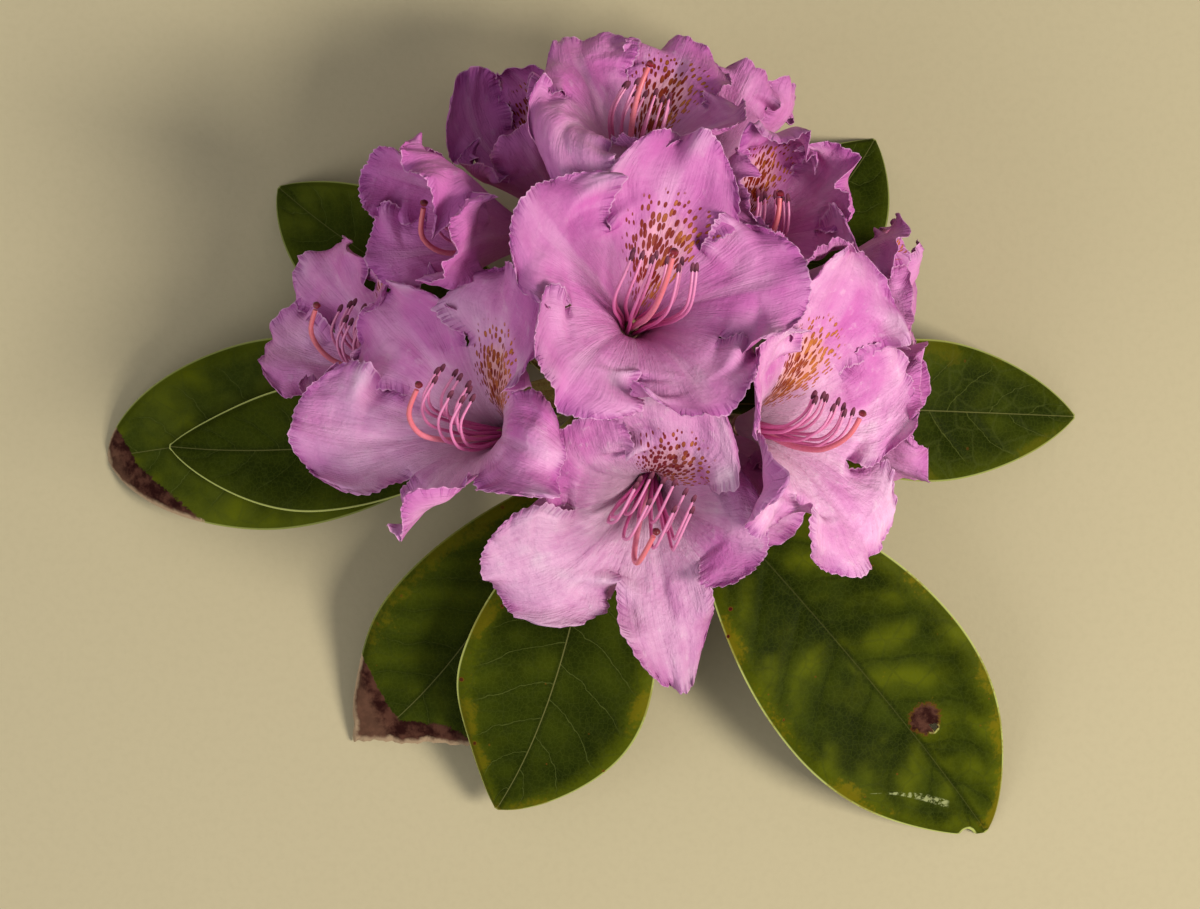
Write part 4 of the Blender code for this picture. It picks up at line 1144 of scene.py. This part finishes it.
def leaf_look(name, long):
    """A leathery leaf: glossy and veined above, dull and pale beneath, with its worn and dead places."""
    shade = {**COMMON, **LEAF_SHADES[name]}
    paint = Paint("leaf_" + name)
    c, t = paint.place()
    edge, dead, wide, inner = (paint.mark(label) for label in ("edge", "dead", "wide", "inner"))
    x, y, z = paint.spot()
    cloud = paint.noise(x, y, z, 0.06, 3)
    fleck = paint.noise(x, y, z, 0.9, 4, 0.6)
    blade = (t - LEAF_STALK) * (1 / (1 - LEAF_STALK))
    curve = c.abs() ** 1.2 * VEIN_SWEEP
    sway = (paint.noise(c * 2.5, t * 9.0, long * 0.1, 1.0, 3) - 0.5) * 0.55
    turn = (blade - curve) * float(LEAF_VEINS) + c.step(0.0, 0.01) * -0.5 + 0.75 + sway
    spacing = long * (1 - LEAF_STALK) / LEAF_VEINS
    away = (turn.math("FRACT") - 0.5).abs() * spacing
    side_vein = away.step(0.20, 0.06) * c.abs().step(0.92, 0.6)
    rib_away = (c * wide).abs()
    rib = (rib_away - (1 - t) * 0.14).step(0.17, 0.04)
    shaded = rib_away.step(1.7, 0.3) * 0.6 + away.step(1.3, 0.2) * c.abs().step(1.0, 0.5) * 0.4
    loops = paint.net(x + sway * 6.0, y, z * 0.3, 0.13).step(0.055, 0.01)
    net = paint.net(x, y, z * 0.3, 0.75)
    mesh = net.step(0.10, 0.02)
    small = paint.net(x, y, z * 0.3, 1.9).step(0.09, 0.02)
    paint.start(cloud.step(0.35, 0.65), shade["dark"], shade["green"])
    between = away.step(1.0, spacing * 0.5)
    patch = paint.noise(x, y, z, 0.065, 3, 0.5).step(0.36, 0.72)
    paint.coat((between * 0.8 + 0.2) * patch * shade["yellow"], shade["gold"])
    fringe = (edge + (fleck - 0.5) * 5.0).step(7.0, 0.5)
    paint.coat(fringe * shade["margin"], shade["gold"])
    paint.coat((shaded + loops * 0.20).math("MINIMUM", 0.75), shade["dark"])
    paint.coat(mesh * 0.13 + small * 0.08, (0.08, 0.10, 0.012))
    paint.coat(side_vein * shade["vein"] + loops * shade["loops"], (0.12, 0.14, 0.03))
    paint.coat(rib * shade["rib"], (0.20, 0.19, 0.06))
    paint.coat(edge.step(0.60, 0.25) * shade["line"], (0.42, 0.45, 0.13))
    near, own = paint.cells(x, y, 0.0, 0.27)
    size = own * 0.26 - 0.20 + edge.step(12.0, 1.0) * 0.13 + (fleck - 0.5) * 0.25
    mottle = (cloud + edge.step(9.0, 1.0) * 0.25 + (fleck - 0.5) * 0.4).step(0.72, 0.86)
    paint.coat(mottle * shade["specks"] * 0.6, (0.17, 0.125, 0.004))
    paint.coat((size - near).step(-0.05, 0.02) * shade["specks"] * 0.7, (0.20, 0.07, 0.008))
    paint.coat((size - near).step(0.0, 0.04) * shade["specks"], (0.055, 0.008, 0.006))
    paint.coat((1 - inner) * 0.75, (0.17, 0.20, 0.07))
    paint.coat(t.step(0.14, 0.06) * 0.7, (0.24, 0.22, 0.08))
    # dead places: dark purplish brown, reddish at their border and tan at the very edge
    rough_dead = dead + (fleck - 0.5) * 4.0 + (cloud - 0.5) * 3.0
    gone = rough_dead.step(-0.4, 0.5)
    paint.coat(rough_dead.step(-0.9, -0.2) * shade["halo"], (0.15, 0.035, 0.010))
    crumple = paint.noise(x, y, z, 0.30, 4, 0.6)
    deeper = rough_dead + (crumple - 0.5) * 9.0
    brown = paint.mix(crumple.step(0.38, 0.66), (0.022, 0.006, 0.005), (0.085, 0.034, 0.022))
    brown = paint.mix(deeper.step(4.0, 12.0) * 0.55 * shade["tan"], brown, (0.15, 0.075, 0.045))
    border = (edge + (crumple - 0.5) * 2.6).step(1.7, 0.4)
    brown = paint.mix(border * shade["tan"], brown, (0.36, 0.25, 0.15))
    paint.coat(gone, brown)
    if "scar" in shade:
        scar(paint, x, y, fleck, *shade["scar"])
    height = net * 0.6 + (1 - side_vein) * 0.5 + (1 - rib) * 0.4 + fleck * (0.25 + gone * 0.8)
    rough = 0.50 + (1 - inner) * 0.3 + gone * 0.25 + (cloud - 0.5) * 0.25 + mesh * 0.05
    return paint.finish(rough, height, 0.45, 0.30, specular=0.012)


def scar(paint, x, y, fleck, start, end):
    """A pale scratch along a line on a leaf (mm)."""
    long = math.dist(start, end)
    way = [(b - a) / long for a, b in zip(start, end)]
    along = (x - start[0]) * way[0] + (y - start[1]) * way[1]
    bowed = (along * (math.pi / long)).math("SINE") * 1.2
    aside = (x - start[0]) * way[1] - (y - start[1]) * way[0] + bowed
    share = along * (1 / long)
    wide = share.step(0.0, 0.8) + 0.15
    line = (wide - aside.abs()).step(0.0, 0.3) * share.step(0.0, 0.05) * share.step(1.0, 0.94)
    paint.coat(line * fleck.step(0.42, 0.60) * 0.7, (0.36, 0.38, 0.17))


def floor_look():
    paint = Paint("pale_floor")
    x, y, z = paint.spot()
    cloud = paint.noise(x, y, z, 0.006, 2)
    grain = paint.noise(x, y, z, 0.5, 4)
    paint.start(cloud, (0.455, 0.39, 0.232), (0.49, 0.42, 0.258))
    paint.coat(grain.step(0.4, 0.7) * 0.10, (0.36, 0.30, 0.18))
    return paint.finish(0.85, grain, 0.2, 0.3)


# ---- The pieces
def lines_above(xs, ys):
    """How far below a line of points a place is (mm): positive below it."""
    return lambda points: np.interp(points[:, 0] / MM, xs, ys) - points[:, 1] / MM


def round_spots(spots):
    """How far outside the nearest of some round spots a place is (mm)."""

    def away(points):
        spread = [np.hypot(points[:, 0] / MM - x, points[:, 1] / MM - y) - r for x, y, r in spots]
        return np.min(spread, axis=0)

    return away


def torn_corner(points):
    """A leaf's end torn off along two ragged lines."""
    x, y = points[:, 0] / MM, points[:, 1] / MM
    side = 0.35 * np.sin(y * 0.31) + 0.22 * np.sin(y * 1.13 + 2)
    foot = 0.30 * np.sin(x * 0.43 + 1) + 0.20 * np.sin(x * 1.37) + 0.12 * np.sin(x * 2.9)
    return np.minimum(x + 71.5 + side, y + 91.0 + foot)


SOUTH_WEST_EDGE = (-75, -70, -64, -59, -46, -30), (-60, -64, -77, -85.4, -86, -95)
WEST_LOW_EDGE = (-136, -134, -128.8, -120.7, -114.8, -100), (-5, -7.6, -17, -23.7, -28.6, -40)
SOUTH_EAST_SPOT = (80.8, -84.3)
SOUTH_EAST_HOLES = ((82.8, -86.2, 1.4), (93.5, -116.6, 2.1))
WORN = {
    "south_west": {"dead": lines_above(*SOUTH_WEST_EDGE), "keep": torn_corner},
    "west_low": {"dead": lines_above(*WEST_LOW_EDGE)},
    "south_east": {
        "dead": lambda points: 4.0 - round_spots([(*SOUTH_EAST_SPOT, 0)])(points),
        "keep": round_spots(SOUTH_EAST_HOLES),
    },
}

looks = [
    tube_look("filament", (0.52, 0.045, 0.24), (0.78, 0.26, 0.48), 0.25),
    tube_look("anther", (0.060, 0.010, 0.022), (0.20, 0.045, 0.085), 0.5, 0.2),
    tube_look("style", (0.82, 0.32, 0.46), (0.72, 0.15, 0.18), 0.3),
    tube_look("ovary", (0.22, 0.26, 0.10), (0.34, 0.30, 0.12), 0.6),
    tube_look("stigma", (0.24, 0.012, 0.025), (0.12, 0.008, 0.015), 0.25),
]
down = green_look("flower_stalk", (0.16, 0.17, 0.05), (0.30, 0.28, 0.10), (0.34, 0.12, 0.10))
for name, spec in BLOOMS.items():
    corolla("corolla_" + name, spec, petal_look(name, spec))
    bloom_heart("stamens_" + name, spec, looks)
    stalk("stalk_" + name, spec, down)
stem(bark_look())
truss_axis(green_look("truss_axis", (0.14, 0.17, 0.05), (0.26, 0.28, 0.09), (0.30, 0.27, 0.10)),
           green_look("bract", (0.26, 0.24, 0.03), (0.42, 0.38, 0.07), (0.38, 0.22, 0.08)))
for name, spec in LEAVES.items():
    leaf_piece(name, WORN.get(name, {}), leaf_look(name, leaf_length(spec)))

# ---- Floor, light and camera
bpy.ops.mesh.primitive_plane_add(size=6)
floor = bpy.context.object
floor.name = "floor"
floor.location = (0, 0, -0.05 * MM)
floor.data.materials.append(floor_look())

world = bpy.data.worlds.new("studio")
world.use_nodes = True
background = world.node_tree.nodes["Background"].inputs
background["Color"].default_value = (0.95, 0.96, 1.0, 1)
background["Strength"].default_value = 0.30
bpy.context.scene.world = world


def area_light(name, place, size, power, color):
    lamp = bpy.data.lights.new(name, "AREA")
    lamp.size, lamp.energy, lamp.color = size, power, color
    item = bpy.data.objects.new(name, lamp)
    item.location = place
    item.rotation_euler = (Vector((0, 0, 0.05)) - Vector(place)).to_track_quat("-Z", "Y").to_euler()
    bpy.context.scene.collection.objects.link(item)


area_light("key", (0.94, -0.32, 1.06), 0.44, 21.6, (1.0, 0.96, 0.88))
area_light("fill", (-0.75, -0.45, 0.65), 0.9, 4.2, (0.95, 0.96, 1.0))

camera = bpy.data.cameras.new("camera")
camera.sensor_width = 36
camera.lens = 89
camera.clip_start = 0.01
eye = bpy.data.objects.new("camera", camera)
eye.location = (-5.2 * MM, -14.2 * MM, 0.8)
bpy.context.scene.collection.objects.link(eye)
bpy.context.scene.camera = eye
bpy.context.scene.view_settings.view_transform = "Standard"
